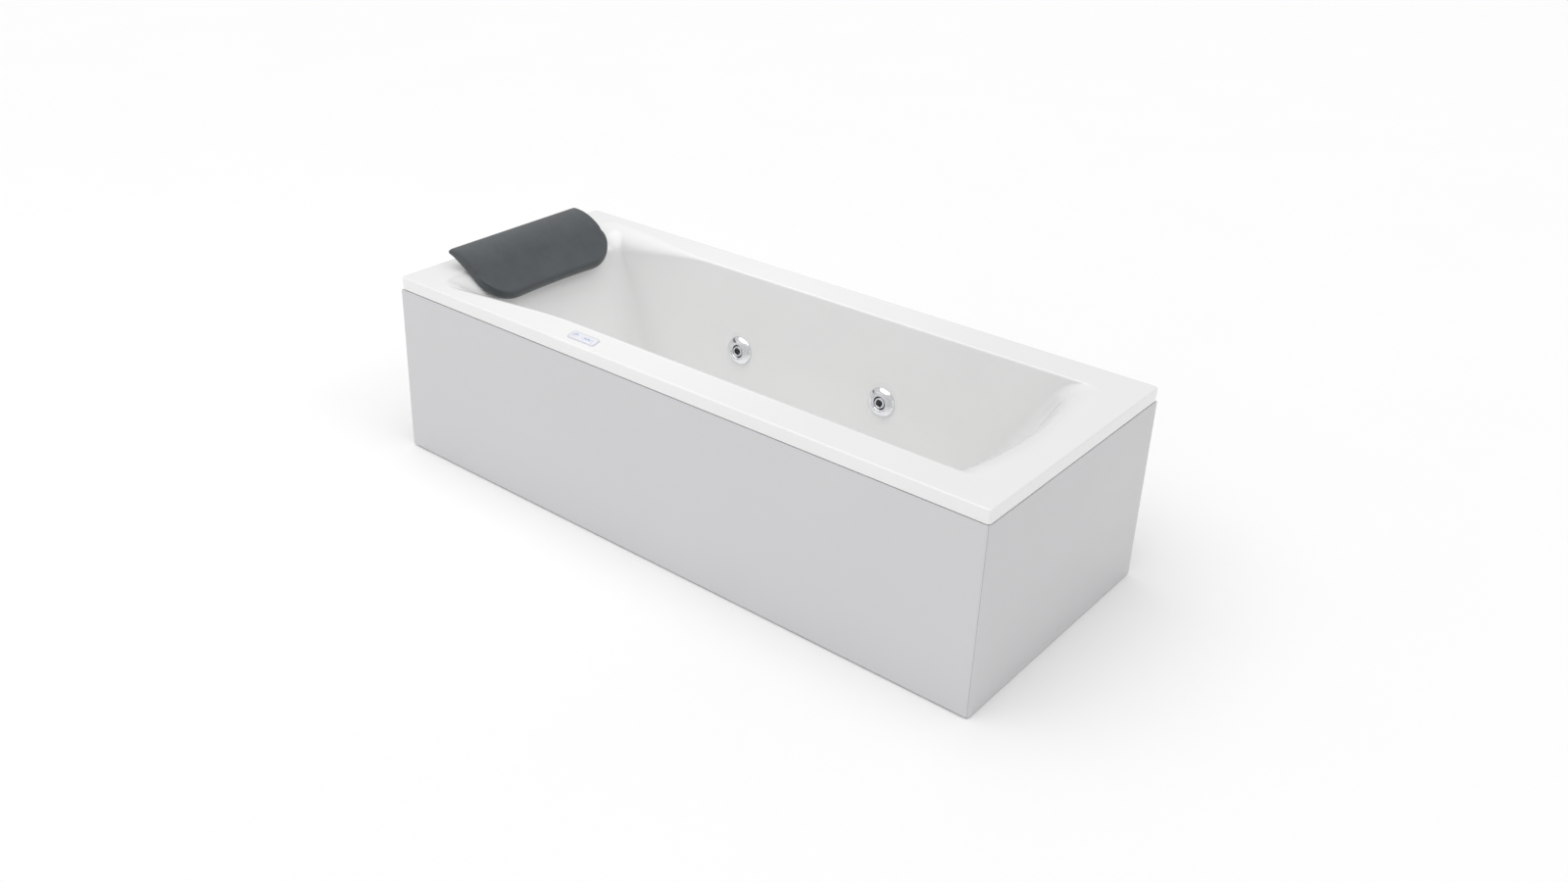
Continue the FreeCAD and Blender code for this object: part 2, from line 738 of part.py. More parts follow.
def levelling_nuts():
    """A lock nut under the rail and one inside it at every levelling bolt."""
    nuts = []
    for side in (1, -1):
        for x in foot_spots:
            y = side * rail_offset
            lock_top = rail_bottom - bracket_metal
            for z in (lock_top - nut_height, rail_bottom + rail_wall):
                nut = hexagon(nut_across, (x, y, z), Z_DIR, nut_height)
                hole = rod(foot_bolt_radius + glue_gap, (x, y, z), Z_DIR, nut_height)
                nuts.append(nut.cut(hole))
    return compound(nuts)


def pump_shelf():
    """Board across the rails under the backrest, for the pump and the control box."""
    start = shelf_margin - half_length
    return block(start, start + shelf_length, -shelf_half, shelf_half, board_bottom, shelf_top)


# ---------------------------------------------------------------- jets
def jet_body():
    """Fixed jet housing through the wall, clamped round its water pipe and air hose."""
    flange = rod(jet_flange_radius, (0, 0, glue_gap), Z_DIR, jet_flange_height - glue_gap)
    barrel = rod(jet_barrel_radius, (0, 0, -jet_housing_end), Z_DIR, jet_housing_end + jet_flange_height)
    housing_start = side_skin + bolt_clearance + jet_nut_height + 1
    housing = rod(jet_housing_radius, (0, 0, -jet_housing_end - 8), Z_DIR,
                  jet_housing_end + 8 - housing_start)
    saddle = rod(water_pipe_radius + 5, (-jet_saddle_half, 0, -jet_pipe_behind), X_DIR,
                 2 * jet_saddle_half)
    neck = rod(9, (0, 0, -jet_air_behind), Y_DIR, jet_air_rise)
    collar = rod(air_hose_radius + 4, (-14, jet_air_rise, -jet_air_behind), X_DIR, 28)
    body = flange.fuse([barrel, housing, saddle, neck, collar])
    chamber = rod(jet_bore_radius, (0, 0, -jet_sleeve_depth - 1), Z_DIR,
                  jet_sleeve_depth + jet_flange_height + 2)
    pipe_bore = rod(water_pipe_radius + glue_gap, (-jet_saddle_half - 1, 0, -jet_pipe_behind), X_DIR,
                    2 * jet_saddle_half + 2)
    hose_bore = rod(air_hose_radius + glue_gap, (-15, jet_air_rise, -jet_air_behind), X_DIR, 30)
    throat = rod(jet_nozzle_radius, (0, 0, -jet_pipe_behind), Z_DIR, jet_pipe_behind)
    return body.cut([chamber, pipe_bore, hose_bore, throat])


def jet_face():
    """Domed face that turns, with the sleeve and seat that hold the ball nozzle."""
    ring = jet_ball_radius + 5.5
    top = jet_flange_height + jet_face_gap + jet_face_dome
    base = jet_flange_height + jet_face_gap
    lip = turn_clearance * 12
    sleeve = jet_bore_radius - turn_clearance
    dome = spun([
        (0, base), (jet_flange_radius + 1, base), (jet_flange_radius + 1, lip),
        (jet_face_radius, lip), (jet_face_radius, lip + 1.6),
        (jet_face_radius - 3.5, base + jet_face_dome * 0.45),
        (jet_face_radius - 9, base + jet_face_dome * 0.8),
        (ring + 1.5, top), (ring, top), (ring, top - 2.5), (jet_ball_radius + 1, top - 3.2),
        (0, top - 3.2)])
    stem = rod(sleeve, (0, 0, -jet_sleeve_depth), Z_DIR, jet_sleeve_depth + base)
    seat = Part.makeSphere(jet_ball_radius + jet_seat_gap, V(0, 0, jet_ball_centre))
    throat = rod(jet_nozzle_radius + 2, (0, 0, -jet_sleeve_depth - 1), Z_DIR, jet_sleeve_depth)
    notch = Part.makeSphere(4.5, V(ring + 8, 0, top + 1.5))
    return dome.fuse(stem).cut([seat, throat, notch]).removeSplitter()


def jet_nozzle():
    """Ball nozzle with a flat front and a through bore."""
    ball = Part.makeSphere(jet_ball_radius, V(0, 0, jet_ball_centre))
    span = 2 * jet_ball_radius
    front = block(-span, span, -span, span, jet_ball_centre + jet_ball_flat, span)
    back = block(-span, span, -span, span, -span, jet_ball_centre - jet_ball_flat - 2)
    bore = rod(jet_nozzle_radius, (0, 0, -span), Z_DIR, 2 * span)
    return ball.cut([front, back, bore])


def jet_nut():
    """Round clamping nut behind the wall, with grip slots."""
    start = -side_skin - bolt_clearance - jet_nut_height
    nut = tube(jet_nut_radius, jet_barrel_radius + glue_gap, (0, 0, start), Z_DIR, jet_nut_height)
    slots = []
    for k in range(8):
        slot = block(jet_nut_radius - 3, jet_nut_radius + 2, -3, 3, start - 1, start + jet_nut_height + 1)
        slots.append(slot.rotated(V(0, 0, 0), Z_DIR, 45 * k))
    return nut.cut(slots)


def jet_frames():
    """Where each jet stands, by name."""
    frames = {}
    for side, row in ((1, "rear"), (-1, "front")):
        for x, end in zip(jet_spots, ("head", "foot")):
            frames[row + "_" + end] = wall_frame(x, jet_depth, side)
    return frames


# ---------------------------------------------------------------- suction fitting
def suction_frame():
    """Where the suction fitting stands, on the front wall."""
    return wall_frame(suction_spot, suction_depth, -1)


def suction_body():
    """Fixed suction housing through the wall, its side port towards the head end."""
    flange = rod(suction_face_radius - 5, (0, 0, glue_gap), Z_DIR, suction_flange_height - glue_gap)
    barrel = rod(suction_barrel_radius, (0, 0, -suction_behind), Z_DIR, suction_behind + suction_flange_height)
    chamber = rod(suction_body_radius, (0, 0, -suction_body_end), Z_DIR,
                  suction_body_end - side_skin - bolt_clearance)
    port = rod(suction_pipe_radius + 5, (0, 0, -suction_behind), X_DIR, suction_body_radius + 22)
    body = flange.fuse([barrel, chamber, port])
    bore = rod(suction_barrel_radius - 5, (0, 0, -suction_behind - 20), Z_DIR, suction_behind + 24)
    port_bore = rod(suction_pipe_radius - suction_pipe_wall, (0, 0, -suction_behind), X_DIR, 80)
    socket = rod(suction_pipe_radius + glue_gap, (suction_body_radius + 4, 0, -suction_behind), X_DIR, 30)
    return body.cut([bore, port_bore, socket])


def suction_grille():
    """Domed cover with rings of slots and a centre screw boss."""
    r = suction_face_radius
    dome = spun([(0, 2.3), (r - 4.4, 2.3), (r - 4.4, 0.6), (r, 0.6), (r, 3), (r - 6, 8),
                 (r - 18, suction_face_dome), (0, suction_face_dome)])
    slots = []
    for ring_radius, count in ((14, 8), (22, 12), (30, 16)):
        for k in range(count):
            slot = rod(2.4, (ring_radius, 0, -1), Z_DIR, suction_face_dome + 4)
            slots.append(slot.rotated(V(0, 0, 0), Z_DIR, 360 * k / count))
    return dome.cut(slots)


# ---------------------------------------------------------------- pump
def pump_axis_point(y):
    """A point on the pump's axis."""
    return (pump_x, y, motor_axis)


volute_start = pump_inlet_y + 30
volute_end = volute_start + volute_length
motor_front = volute_end + motor_gap
motor_back = motor_front + motor_length
impeller_front = volute_start + volute_wall + 8


def pump_volute():
    """Wet end: hollow drum with an axial inlet neck, an upward outlet and a seal plate."""
    drum = rod(volute_radius, pump_axis_point(volute_start), Y_DIR, volute_length)
    neck = rod(suction_pipe_radius + 6, pump_axis_point(pump_inlet_y), Y_DIR, 30)
    outlet_x = pump_x
    outlet_y = (volute_start + volute_end) / 2
    outlet = rod(water_pipe_radius + 5, (outlet_x, outlet_y, motor_axis), Z_DIR,
                 volute_radius + discharge_length)
    lantern = rod(motor_radius - 8, pump_axis_point(volute_end), Y_DIR, motor_gap)
    body = drum.fuse([neck, outlet, lantern])
    hollow = rod(volute_radius - volute_wall, pump_axis_point(volute_start + volute_wall), Y_DIR,
                 volute_length - 2 * volute_wall)
    inlet = rod(suction_pipe_radius - suction_pipe_wall, pump_axis_point(pump_inlet_y - 1), Y_DIR, 50)
    socket = rod(suction_pipe_radius + glue_gap, pump_axis_point(pump_inlet_y - 1), Y_DIR, 19)
    outlet_bore = rod(water_pipe_radius - water_pipe_wall, (outlet_x, outlet_y, motor_axis), Z_DIR,
                      volute_radius + discharge_length + 1)
    shaft_hole = rod(shaft_radius + turn_clearance, pump_axis_point(volute_end - volute_wall - 1), Y_DIR,
                     motor_gap + volute_wall + 2)
    return body.cut([hollow, inlet, socket, outlet_bore, shaft_hole])


def pump_impeller():
    """Closed disc with swept vanes and a hub on the shaft."""
    disc = rod(impeller_radius, pump_axis_point(impeller_front + impeller_width - 4), Y_DIR, 4)
    hub = rod(shaft_radius + 5, pump_axis_point(impeller_front), Y_DIR, impeller_width)
    body = disc.fuse(hub)
    vanes = []
    for k in range(impeller_blades):
        vane = block(pump_x + 9, pump_x + impeller_radius - 1, impeller_front, impeller_front + impeller_width - 2,
                     motor_axis + 3, motor_axis + 6)
        vane = vane.rotated(V(pump_x + 9, 0, motor_axis + 3), Y_DIR, 25)
        vanes.append(vane.rotated(V(*pump_axis_point(0)), Y_DIR, 360 * k / impeller_blades))
    limit = rod(impeller_radius, pump_axis_point(impeller_front), Y_DIR, impeller_width)
    body = body.fuse([v.common(limit) for v in vanes])
    return body.cut(rod(shaft_radius + glue_gap, pump_axis_point(impeller_front - 1), Y_DIR, impeller_width + 2))


def motor_housing():
    """Finned aluminium housing with both end walls and the terminal box."""
    shell_part = rod(motor_radius, pump_axis_point(motor_front), Y_DIR, motor_length)
    fins = []
    for k in range(fin_count):
        fin = block(pump_x + motor_radius - 2, pump_x + motor_radius + fin_height,
                    motor_front + 10, motor_back - 10,
                    motor_axis - fin_width / 2, motor_axis + fin_width / 2)
        fins.append(fin.rotated(V(*pump_axis_point(0)), Y_DIR, 360 * k / fin_count))
    box = block(pump_x - terminal_box_half, pump_x + terminal_box_half, motor_front + terminal_box_start,
                motor_front + terminal_box_start + terminal_box_length,
                motor_axis + motor_radius - 6, motor_axis + motor_radius + terminal_box_height)
    body = shell_part.fuse(fins + [box])
    hollow = rod(motor_radius - motor_wall, pump_axis_point(motor_front + motor_end_wall), Y_DIR,
                 motor_length - 2 * motor_end_wall)
    bore = rod(shaft_radius + 2, pump_axis_point(motor_front - 1), Y_DIR, motor_length + 2)
    front_seat = rod(bearing_radius, pump_axis_point(motor_front + motor_end_wall - bearing_width), Y_DIR,
                     bearing_width)
    back_seat = rod(bearing_radius, pump_axis_point(motor_back - motor_end_wall), Y_DIR, bearing_width)
    return body.cut([hollow, bore, front_seat, back_seat])


def motor_stator():
    """Wound stator pressed into the housing."""
    start = motor_front + motor_end_wall + 10
    reach = motor_length - 2 * motor_end_wall - 20
    core = tube(motor_radius - motor_wall, rotor_core_radius + air_gap, pump_axis_point(start), Y_DIR, reach)
    relief = tube(motor_radius - motor_wall, motor_radius - motor_wall - 6, pump_axis_point(start), Y_DIR,
                  winding_overhang)
    far_relief = relief.translated(Y_DIR * (reach - winding_overhang))
    return core.cut([relief, far_relief])


def motor_rotor():
    """Shaft with its rotor core, from the impeller to the fan."""
    shaft_start = impeller_front
    shaft_end = motor_back + fan_cover_length - 8
    shaft = rod(shaft_radius, pump_axis_point(shaft_start), Y_DIR, shaft_end - shaft_start)
    core_start = motor_front + motor_end_wall + 10 + winding_overhang
    core_reach = motor_length - 2 * motor_end_wall - 20 - 2 * winding_overhang
    return shaft.fuse(rod(rotor_core_radius, pump_axis_point(core_start), Y_DIR, core_reach))


def motor_bearings():
    """The two ball bearings, each as its closed ring."""
    rings = []
    for y in (motor_front + motor_end_wall - bearing_width, motor_back - motor_end_wall):
        rings.append(tube(bearing_radius, shaft_radius + turn_clearance, pump_axis_point(y), Y_DIR,
                          bearing_width))
    return compound(rings)


def motor_fan():
    """Cooling fan on the shaft's free end."""
    start = motor_back + 6
    hub = rod(shaft_radius + 5, pump_axis_point(start), Y_DIR, fan_thickness)
    disc = rod(fan_radius, pump_axis_point(start + fan_thickness - 2), Y_DIR, 2)
    blades = []
    for k in range(8):
        blade = block(pump_x + 8, pump_x + fan_radius - 1, start, start + fan_thickness - 1,
                      motor_axis - 1, motor_axis + 1)
        blades.append(blade.rotated(V(*pump_axis_point(0)), Y_DIR, 45 * k))
    body = hub.fuse([disc] + blades)
    return body.cut(rod(shaft_radius + glue_gap, pump_axis_point(start - 1), Y_DIR, fan_thickness + 2))


def fan_cover():
    """Cup over the fan, slotted at its end."""
    r = motor_radius + fin_height
    cup = rod(r, pump_axis_point(motor_back - 8), Y_DIR, fan_cover_length + 8)
    hollow = rod(r - fan_cover_wall, pump_axis_point(motor_back - 9), Y_DIR,
                 fan_cover_length + 9 - fan_cover_wall)
    cup = cup.cut(hollow)
    slots = []
    for ring_radius, count in ((14, 8), (25, 12), (36, 18), (47, 24)):
        for k in range(count):
            hole = rod(3.2, (pump_x + ring_radius, motor_back, motor_axis), Y_DIR, fan_cover_length + 4)
            slots.append(hole.rotated(V(*pump_axis_point(0)), Y_DIR, 360 * k / count))
    seat = tube(motor_radius, motor_radius - 1, pump_axis_point(motor_back - 8), Y_DIR, 8)
    rim = tube(r - fan_cover_wall, motor_radius + glue_gap, pump_axis_point(motor_back - 8), Y_DIR, 7)
    return cup.cut(slots).cut(seat).fuse(rim).removeSplitter()


def pump_base():
    """Moulded cradle under the motor, standing on the shelf."""
    half = cradle_width / 2
    y0 = motor_front + 14
    y1 = motor_back - 14
    plate = block(pump_x - half - 14, pump_x + half + 14, y0, y1, shelf_top, shelf_top + cradle_foot)
    body = plate
    for y in (y0, y1 - 18):
        body = body.fuse(block(pump_x - half, pump_x + half, y, y + 18, shelf_top, motor_axis - 20))
    seat = rod(motor_radius + fin_height + glue_gap, pump_axis_point(y0 - 1), Y_DIR, y1 - y0 + 2)
    return body.cut(seat).removeSplitter()


def outlet_y():
    """The pump outlet's place along the cross run."""
    return (volute_start + volute_end) / 2


def water_tee():
    """Tee that joins the pump's outlet to both water pipes."""
    level = water_level()
    y = outlet_y()
    cross = rod(tee_radius, (pump_x, y - tee_half, level), Y_DIR, 2 * tee_half)
    stem_bottom = motor_axis + volute_radius + discharge_length
    stem = rod(tee_radius, (pump_x, y, stem_bottom), Z_DIR, level - stem_bottom)
    sockets = []
    socket = tee_half - 12
    for start in (y - tee_half - 1, y + 12):
        sockets.append(rod(water_pipe_radius + glue_gap, (pump_x, start, level), Y_DIR, socket + 1))
    bore = rod(water_pipe_radius - water_pipe_wall, (pump_x, y - 20, level), Y_DIR, 40)
    stem_bore = rod(water_pipe_radius - water_pipe_wall - 0.5, (pump_x, y, stem_bottom - 1), Z_DIR,
                    level - stem_bottom + 1)
    return cross.fuse(stem).cut(sockets).cut(bore).cut(stem_bore)


def water_level():
    """Height of the water pipes behind the jets."""
    return local_point(wall_frame(0, jet_depth, 1), 0, 0, -jet_pipe_behind).z


def water_y():
    """Distance of the water pipes from the centre line."""
    return local_point(wall_frame(0, jet_depth, 1), 0, 0, -jet_pipe_behind).y


def water_pipe(side):
    """Pipe from the last jet of a row round the head end to the tee, capped at its far end."""
    level = water_level()
    y = side * water_y()
    far_end = jet_spots[-1] + jet_saddle_half + 12
    tee_end = outlet_y() + side * (tee_half - 22)
    points = [(far_end, y, level), (pump_x, y, level), (pump_x, tee_end, level)]
    pipe = swept_turn(points, water_elbow, water_pipe_radius, water_pipe_radius - water_pipe_wall)
    cap = rod(water_pipe_radius, (far_end, y, level), X_DIR, 4)
    return pipe.fuse(cap)


def swept_turn(points, radius, outer_radius, bore):
    """A pipe of two runs with one elbow of a given radius."""
    a, b, c = [V(*p) for p in points]
    back = (a - b).normalize()
    ahead = (c - b).normalize()
    half_turn = (math.pi - back.getAngle(ahead)) / 2
    reach = radius * math.tan(half_turn)
    inward = (back + ahead).normalize()
    middle = b + inward * (radius / math.cos(half_turn) - radius)
    path = Part.Wire([
        Part.LineSegment(a, b + back * reach).toShape(),
        Part.Arc(b + back * reach, middle, b + ahead * reach).toShape(),
        Part.LineSegment(b + ahead * reach, c).toShape()])
    skins = []
    for r in (outer_radius, bore):
        skins.append(path.makePipeShell([Part.Wire(Part.makeCircle(r, a, b - a))], True, False))
    return skins[0].cut(skins[1])


def suction_pipe():
    """Pipe from the suction fitting down to the pump's inlet."""
    port = local_point(suction_frame(), suction_body_radius + 20, 0, -suction_behind)
    slope_end = pump_x + pump_elbow
    slope_start = port.x + (slope_end - port.x) * slope_share
    points = [(port.x, port.y, port.z), (slope_start, port.y, port.z), (slope_end, port.y, motor_axis),
              (pump_x, port.y, motor_axis), (pump_x, pump_inlet_y + 16, motor_axis)]
    return swept(points, suction_pipe_radius, suction_pipe_radius - suction_pipe_wall)


# ---------------------------------------------------------------- air
def air_hose(side):
    """Air hose from the last jet of a row up to the intake under the head deck."""
    spot = local_point(wall_frame(0, jet_depth, side), 0, jet_air_rise, -jet_air_behind)
    far_end = jet_spots[-1] + 24
    points = [(far_end, spot.y, spot.z), (hose_rise_margin - half_length, spot.y, spot.z),
              (intake_x, spot.y, hose_level),
              (intake_x, side * (intake_radius + intake_stub - 12), hose_level)]
    return swept(points, air_hose_radius, air_hose_radius - air_hose_wall)


def air_intake():
    """Air silencer under the head deck with a barb for each hose."""
    can = rod(intake_radius, (intake_x, 0, deck_underside - intake_height), Z_DIR, intake_height)
    body = can
    for side in (1, -1):
        body = body.fuse(rod(air_hose_radius + 4, (intake_x, 0, hose_level), Y_DIR * side,
                             intake_radius + intake_stub))
    vents = []
    for k in range(6):
        angle = math.radians(60 * k)
        spot = (intake_x + 11 * math.cos(angle), 11 * math.sin(angle), deck_underside - intake_height - 1)
        vents.append(rod(3, spot, Z_DIR, 10))
    for side in (1, -1):
        start = (intake_x, side * (intake_radius + intake_stub - 12), hose_level)
        vents.append(rod(air_hose_radius + glue_gap, start, Y_DIR * side, 20))
    return body.cut(vents)


# ---------------------------------------------------------------- waste and overflow
def drain_flange():
    """Dished ring on the basin floor with its neck through the hole."""
    profile = [
        (drain_throat_radius, floor_underside - 10), (drain_hole_radius, floor_underside - 10),
        (drain_hole_radius, floor_top), (drain_flange_radius, floor_top),
        (drain_flange_radius - 1, floor_top + drain_lip), (drain_throat_radius + 3, floor_top + drain_lip),
        (drain_throat_radius, floor_top)]
    return spun(profile).translated(V(drain_x, 0, 0))


def drain_plug():
    """Dished cap on a stem that rides up in the drain body."""
    seat = floor_top + drain_lip + 0.3
    cap = spun([(0, seat), (plug_radius, seat), (plug_radius, seat + 1.2),
                (plug_radius - 5, seat + plug_thickness), (0, seat + plug_thickness + 1)])
    stem = rod(plug_stem_radius, (0, 0, drain_body_bottom + plug_travel + 4), Z_DIR,
               seat - drain_body_bottom - plug_travel - 4)
    return cap.fuse(stem).translated(V(drain_x, 0, 0))


def drain_body():
    """Cup under the basin floor with the plug's guide, the outlet and the cable's boss."""
    top = floor_underside - 0.3
    bottom = drain_body_bottom
    cup = rod(drain_body_radius, (drain_x, 0, bottom), Z_DIR, top - bottom)
    hollow = rod(drain_body_radius - 6, (drain_x, 0, bottom + 4), Z_DIR, top - bottom - 3)
    outlet = rod(waste_pipe_radius + 3.5, (drain_x, 0, waste_level), X_DIR, drain_body_radius + 18)
    boss = rod(cable_radius + 3, (drain_x, cable_side, cable_level), X_DIR, drain_body_radius + 6)
    body = cup.fuse([outlet, boss]).cut(hollow)
    guide = rod(plug_stem_radius + 3.5, (drain_x, 0, bottom), Z_DIR, 28)
    web = block(drain_x - drain_body_radius + 5, drain_x, -2, 2, bottom, bottom + 24)
    body = body.fuse([guide, web])
    outlet_bore = rod(waste_pipe_radius - waste_pipe_wall, (drain_x + plug_stem_radius + 4, 0, waste_level),
                      X_DIR, drain_body_radius + 30)
    socket = rod(waste_pipe_radius + glue_gap, (drain_x + drain_body_radius + 2, 0, waste_level), X_DIR, 30)
    stem_bore = rod(plug_stem_radius + turn_clearance, (drain_x, 0, bottom + 2), Z_DIR, 40)
    return body.cut([outlet_bore, socket, stem_bore])


def overflow_port():
    """Lower end of the overflow body's port, where its pipe begins."""
    centre = local_point(foot_frame(overflow_depth), 0, 0, -overflow_body_depth / 2 - foot_skin)
    return V(centre.x, 0, centre.z - overflow_body_radius - overflow_port_length / 2)


def waste_pipe():
    """Level pipe from the drain to the tee under the overflow, and on to the trap."""
    port_x = overflow_port().x
    start = drain_x + drain_body_radius + 3
    run = rod(waste_pipe_radius, (start, 0, waste_level), X_DIR, port_x - start)
    branch = rod(waste_pipe_radius, (port_x, 0, waste_level), Y_DIR, trap_y - trap_radius + 8)
    riser = rod(overflow_pipe_radius + 4, (port_x, 0, waste_level), Z_DIR, waste_pipe_radius + 26)
    knuckle = Part.makeSphere(waste_pipe_radius + 1, V(port_x, 0, waste_level))
    body = run.fuse([branch, riser, knuckle])
    bore = waste_pipe_radius - waste_pipe_wall
    hollow = [
        rod(bore, (start - 1, 0, waste_level), X_DIR, port_x - start + 1),
        rod(bore, (port_x, 0, waste_level), Y_DIR, trap_y),
        rod(overflow_pipe_radius - 2, (port_x, 0, waste_level), Z_DIR, 60),
        rod(overflow_pipe_radius + glue_gap, (port_x, 0, waste_level + waste_pipe_radius + 8), Z_DIR, 40),
        Part.makeSphere(bore, V(port_x, 0, waste_level))]
    return body.cut(hollow)


def trap():
    """Low bottle trap with its outlet towards the wall."""
    x = overflow_port().x
    wall = 3.0
    bottle = rod(trap_radius, (x, trap_y, trap_bottom), Z_DIR, trap_top - trap_bottom)
    outlet = rod(waste_pipe_radius, (x, trap_y, trap_outlet_level), Y_DIR, waste_outlet_y - trap_y)
    collar = rod(waste_pipe_radius + 4, (x, trap_y, trap_outlet_level), Y_DIR,
                 waste_outlet_y - waste_outlet_length - trap_y)
    inlet = rod(waste_pipe_radius + 4, (x, trap_y - trap_radius - 10, waste_level), Y_DIR, trap_radius)
    lid = rod(trap_radius - 8, (x, trap_y, trap_top), Z_DIR, 6)
    hollow = rod(trap_radius - wall, (x, trap_y, trap_bottom + wall), Z_DIR, trap_top - trap_bottom - 2 * wall)
    body = bottle.fuse([outlet, collar, inlet, lid]).cut(hollow)
    bore = rod(waste_pipe_radius - waste_pipe_wall, (x, trap_y + trap_radius - 8, trap_outlet_level), Y_DIR,
               waste_outlet_y)
    socket = rod(waste_pipe_radius + glue_gap, (x, trap_y - trap_radius - 11, waste_level), Y_DIR,
                 trap_radius - 6)
    return body.cut([bore, socket])


def overflow_body():
    """Housing behind the foot slope: through the wall, with a port down and the cable's boss."""
    start = -foot_skin - bolt_clearance - overflow_body_depth
    cup = rod(overflow_body_radius, (0, 0, start), Z_DIR, overflow_body_depth)
    barrel = rod(overflow_hole_radius, (0, 0, start), Z_DIR, overflow_body_depth + foot_skin + 0.7)
    body = set_at(cup.fuse(barrel), *foot_frame(overflow_depth))
    port = overflow_port()
    top = V(port.x, 0, port.z + overflow_body_radius + overflow_port_length / 2)
    body = body.fuse(rod(overflow_pipe_radius + 4, port, Z_DIR, top.z - port.z))
    boss_bottom = port.z + cable_boss_drop
    body = body.fuse(rod(cable_radius + 3, (port.x, cable_side, boss_bottom), Z_DIR, top.z - boss_bottom))
    bore = overflow_hole_radius - 4
    hollow = set_at(rod(bore, (0, 0, start + 4), Z_DIR, overflow_body_depth + 20), *foot_frame(overflow_depth))
    port_bore = rod(overflow_pipe_radius - 2, (port.x, 0, port.z - 1), Z_DIR, top.z - port.z)
    socket = rod(overflow_pipe_radius + glue_gap, (port.x, 0, port.z - 1), Z_DIR, 18)
    pivot = set_at(rod(overflow_stem_radius + 4, (0, 0, start), Z_DIR, 12), *foot_frame(overflow_depth))
    pivot_hole = set_at(rod(overflow_stem_radius + turn_clearance, (0, 0, start + 3), Z_DIR, 40),
                        *foot_frame(overflow_depth))
    body = body.cut([hollow, port_bore, socket])
    return body.fuse(pivot).cut(pivot_hole)


def overflow_knob():
    """Round turning cover over the overflow, on a stem in its housing."""
    r = overflow_knob_radius
    base = overflow_lift
    top = base + overflow_knob_thickness
    cover = spun([(0, top - 3), (r - 4, top - 3), (r - 4, base), (r, base), (r, top - 2),
                  (r - 2, top), (0, top)])
    stem_start = -foot_skin - bolt_clearance - overflow_body_depth + 4
    stem = rod(overflow_stem_radius, (0, 0, stem_start), Z_DIR, top - 2 - stem_start)
    slots = []
    for k in range(3):
        slot = block(-9, 9, r - 6, r + 2, base - 1, top - 4)
        slots.append(slot.rotated(V(0, 0, 0), Z_DIR, 120 * k))
    dimple = Part.makeSphere(9, V(r - 12, 0, top + 6.5))
    return set_at(cover.fuse(stem).cut(slots).cut(dimple), *foot_frame(overflow_depth))


def overflow_pipe():
    """Upright pipe from the overflow down to the waste tee."""
    port = overflow_port()
    top = port.z + 16
    bottom = waste_level + waste_pipe_radius + 9
    return tube(overflow_pipe_radius, overflow_pipe_radius - 2, (port.x, 0, bottom), Z_DIR, top - bottom)


def drain_cable():
    """Pull cable from the overflow housing to the drain body."""
    port = overflow_port()
    points = [(port.x, cable_side, port.z + cable_boss_drop), (port.x, cable_side, cable_level + 80),
              (port.x - 80, cable_side, cable_level), (drain_x + drain_body_radius + 6, cable_side, cable_level)]
    return swept(points, cable_radius)


# ---------------------------------------------------------------- controls
def keypad_plate():
    """Control panel on the front deck: skewed plate with its housing through the deck."""
    middle = (keypad_x, keypad_y)
    plate = rounded_plate(keypad_length / 2, keypad_width / 2, keypad_corner, height,
                          height + keypad_thickness, middle, -keypad_skew)
    housing = rounded_plate(keypad_length / 2 - keypad_housing_inset,
                            keypad_width / 2 - keypad_housing_inset, 3,
                            height - keypad_housing_depth - shell_wall, height + 1, middle)
    body = plate.fuse(housing)
    top = height + keypad_thickness
    pocket = button_pocket_depth()
    round_hole = rod(round_button_radius + button_gap, (keypad_x + round_button_x, keypad_y, top - pocket),
                     Z_DIR, pocket + 1)
    bar_hole = rounded_plate(bar_button_length / 2 + button_gap, bar_button_width / 2 + button_gap, 5,
                             top - pocket, top + 1, (keypad_x + bar_button_x, keypad_y))
    level = height - keypad_cable_drop
    cable_hole = rod(keypad_cable_radius + glue_gap, (keypad_x - keypad_length, keypad_y, level), X_DIR,
                     keypad_length / 2 + keypad_housing_inset + 8)
    return body.cut([round_hole, bar_hole, cable_hole])


def button_pocket_depth():
    """Depth of a button's pocket: the button, its travel and a little over."""
    return button_thickness + button_travel - button_proud + 0.3


def button_base():
    """Underside of a resting button."""
    return height + keypad_thickness + button_proud - button_thickness


def keypad_button_round():
    """Round push button."""
    low = button_base()
    top = low + button_thickness
    r = round_button_radius
    cap = spun([(0, low), (r, low), (r, top - 0.6), (r - 0.8, top), (0, top)])
    return cap.translated(V(keypad_x + round_button_x, keypad_y, 0))


def keypad_button_bar():
    """Long push button."""
    low = button_base()
    return rounded_plate(bar_button_length / 2, bar_button_width / 2, 5, low, low + button_thickness,
                         (keypad_x + bar_button_x, keypad_y))


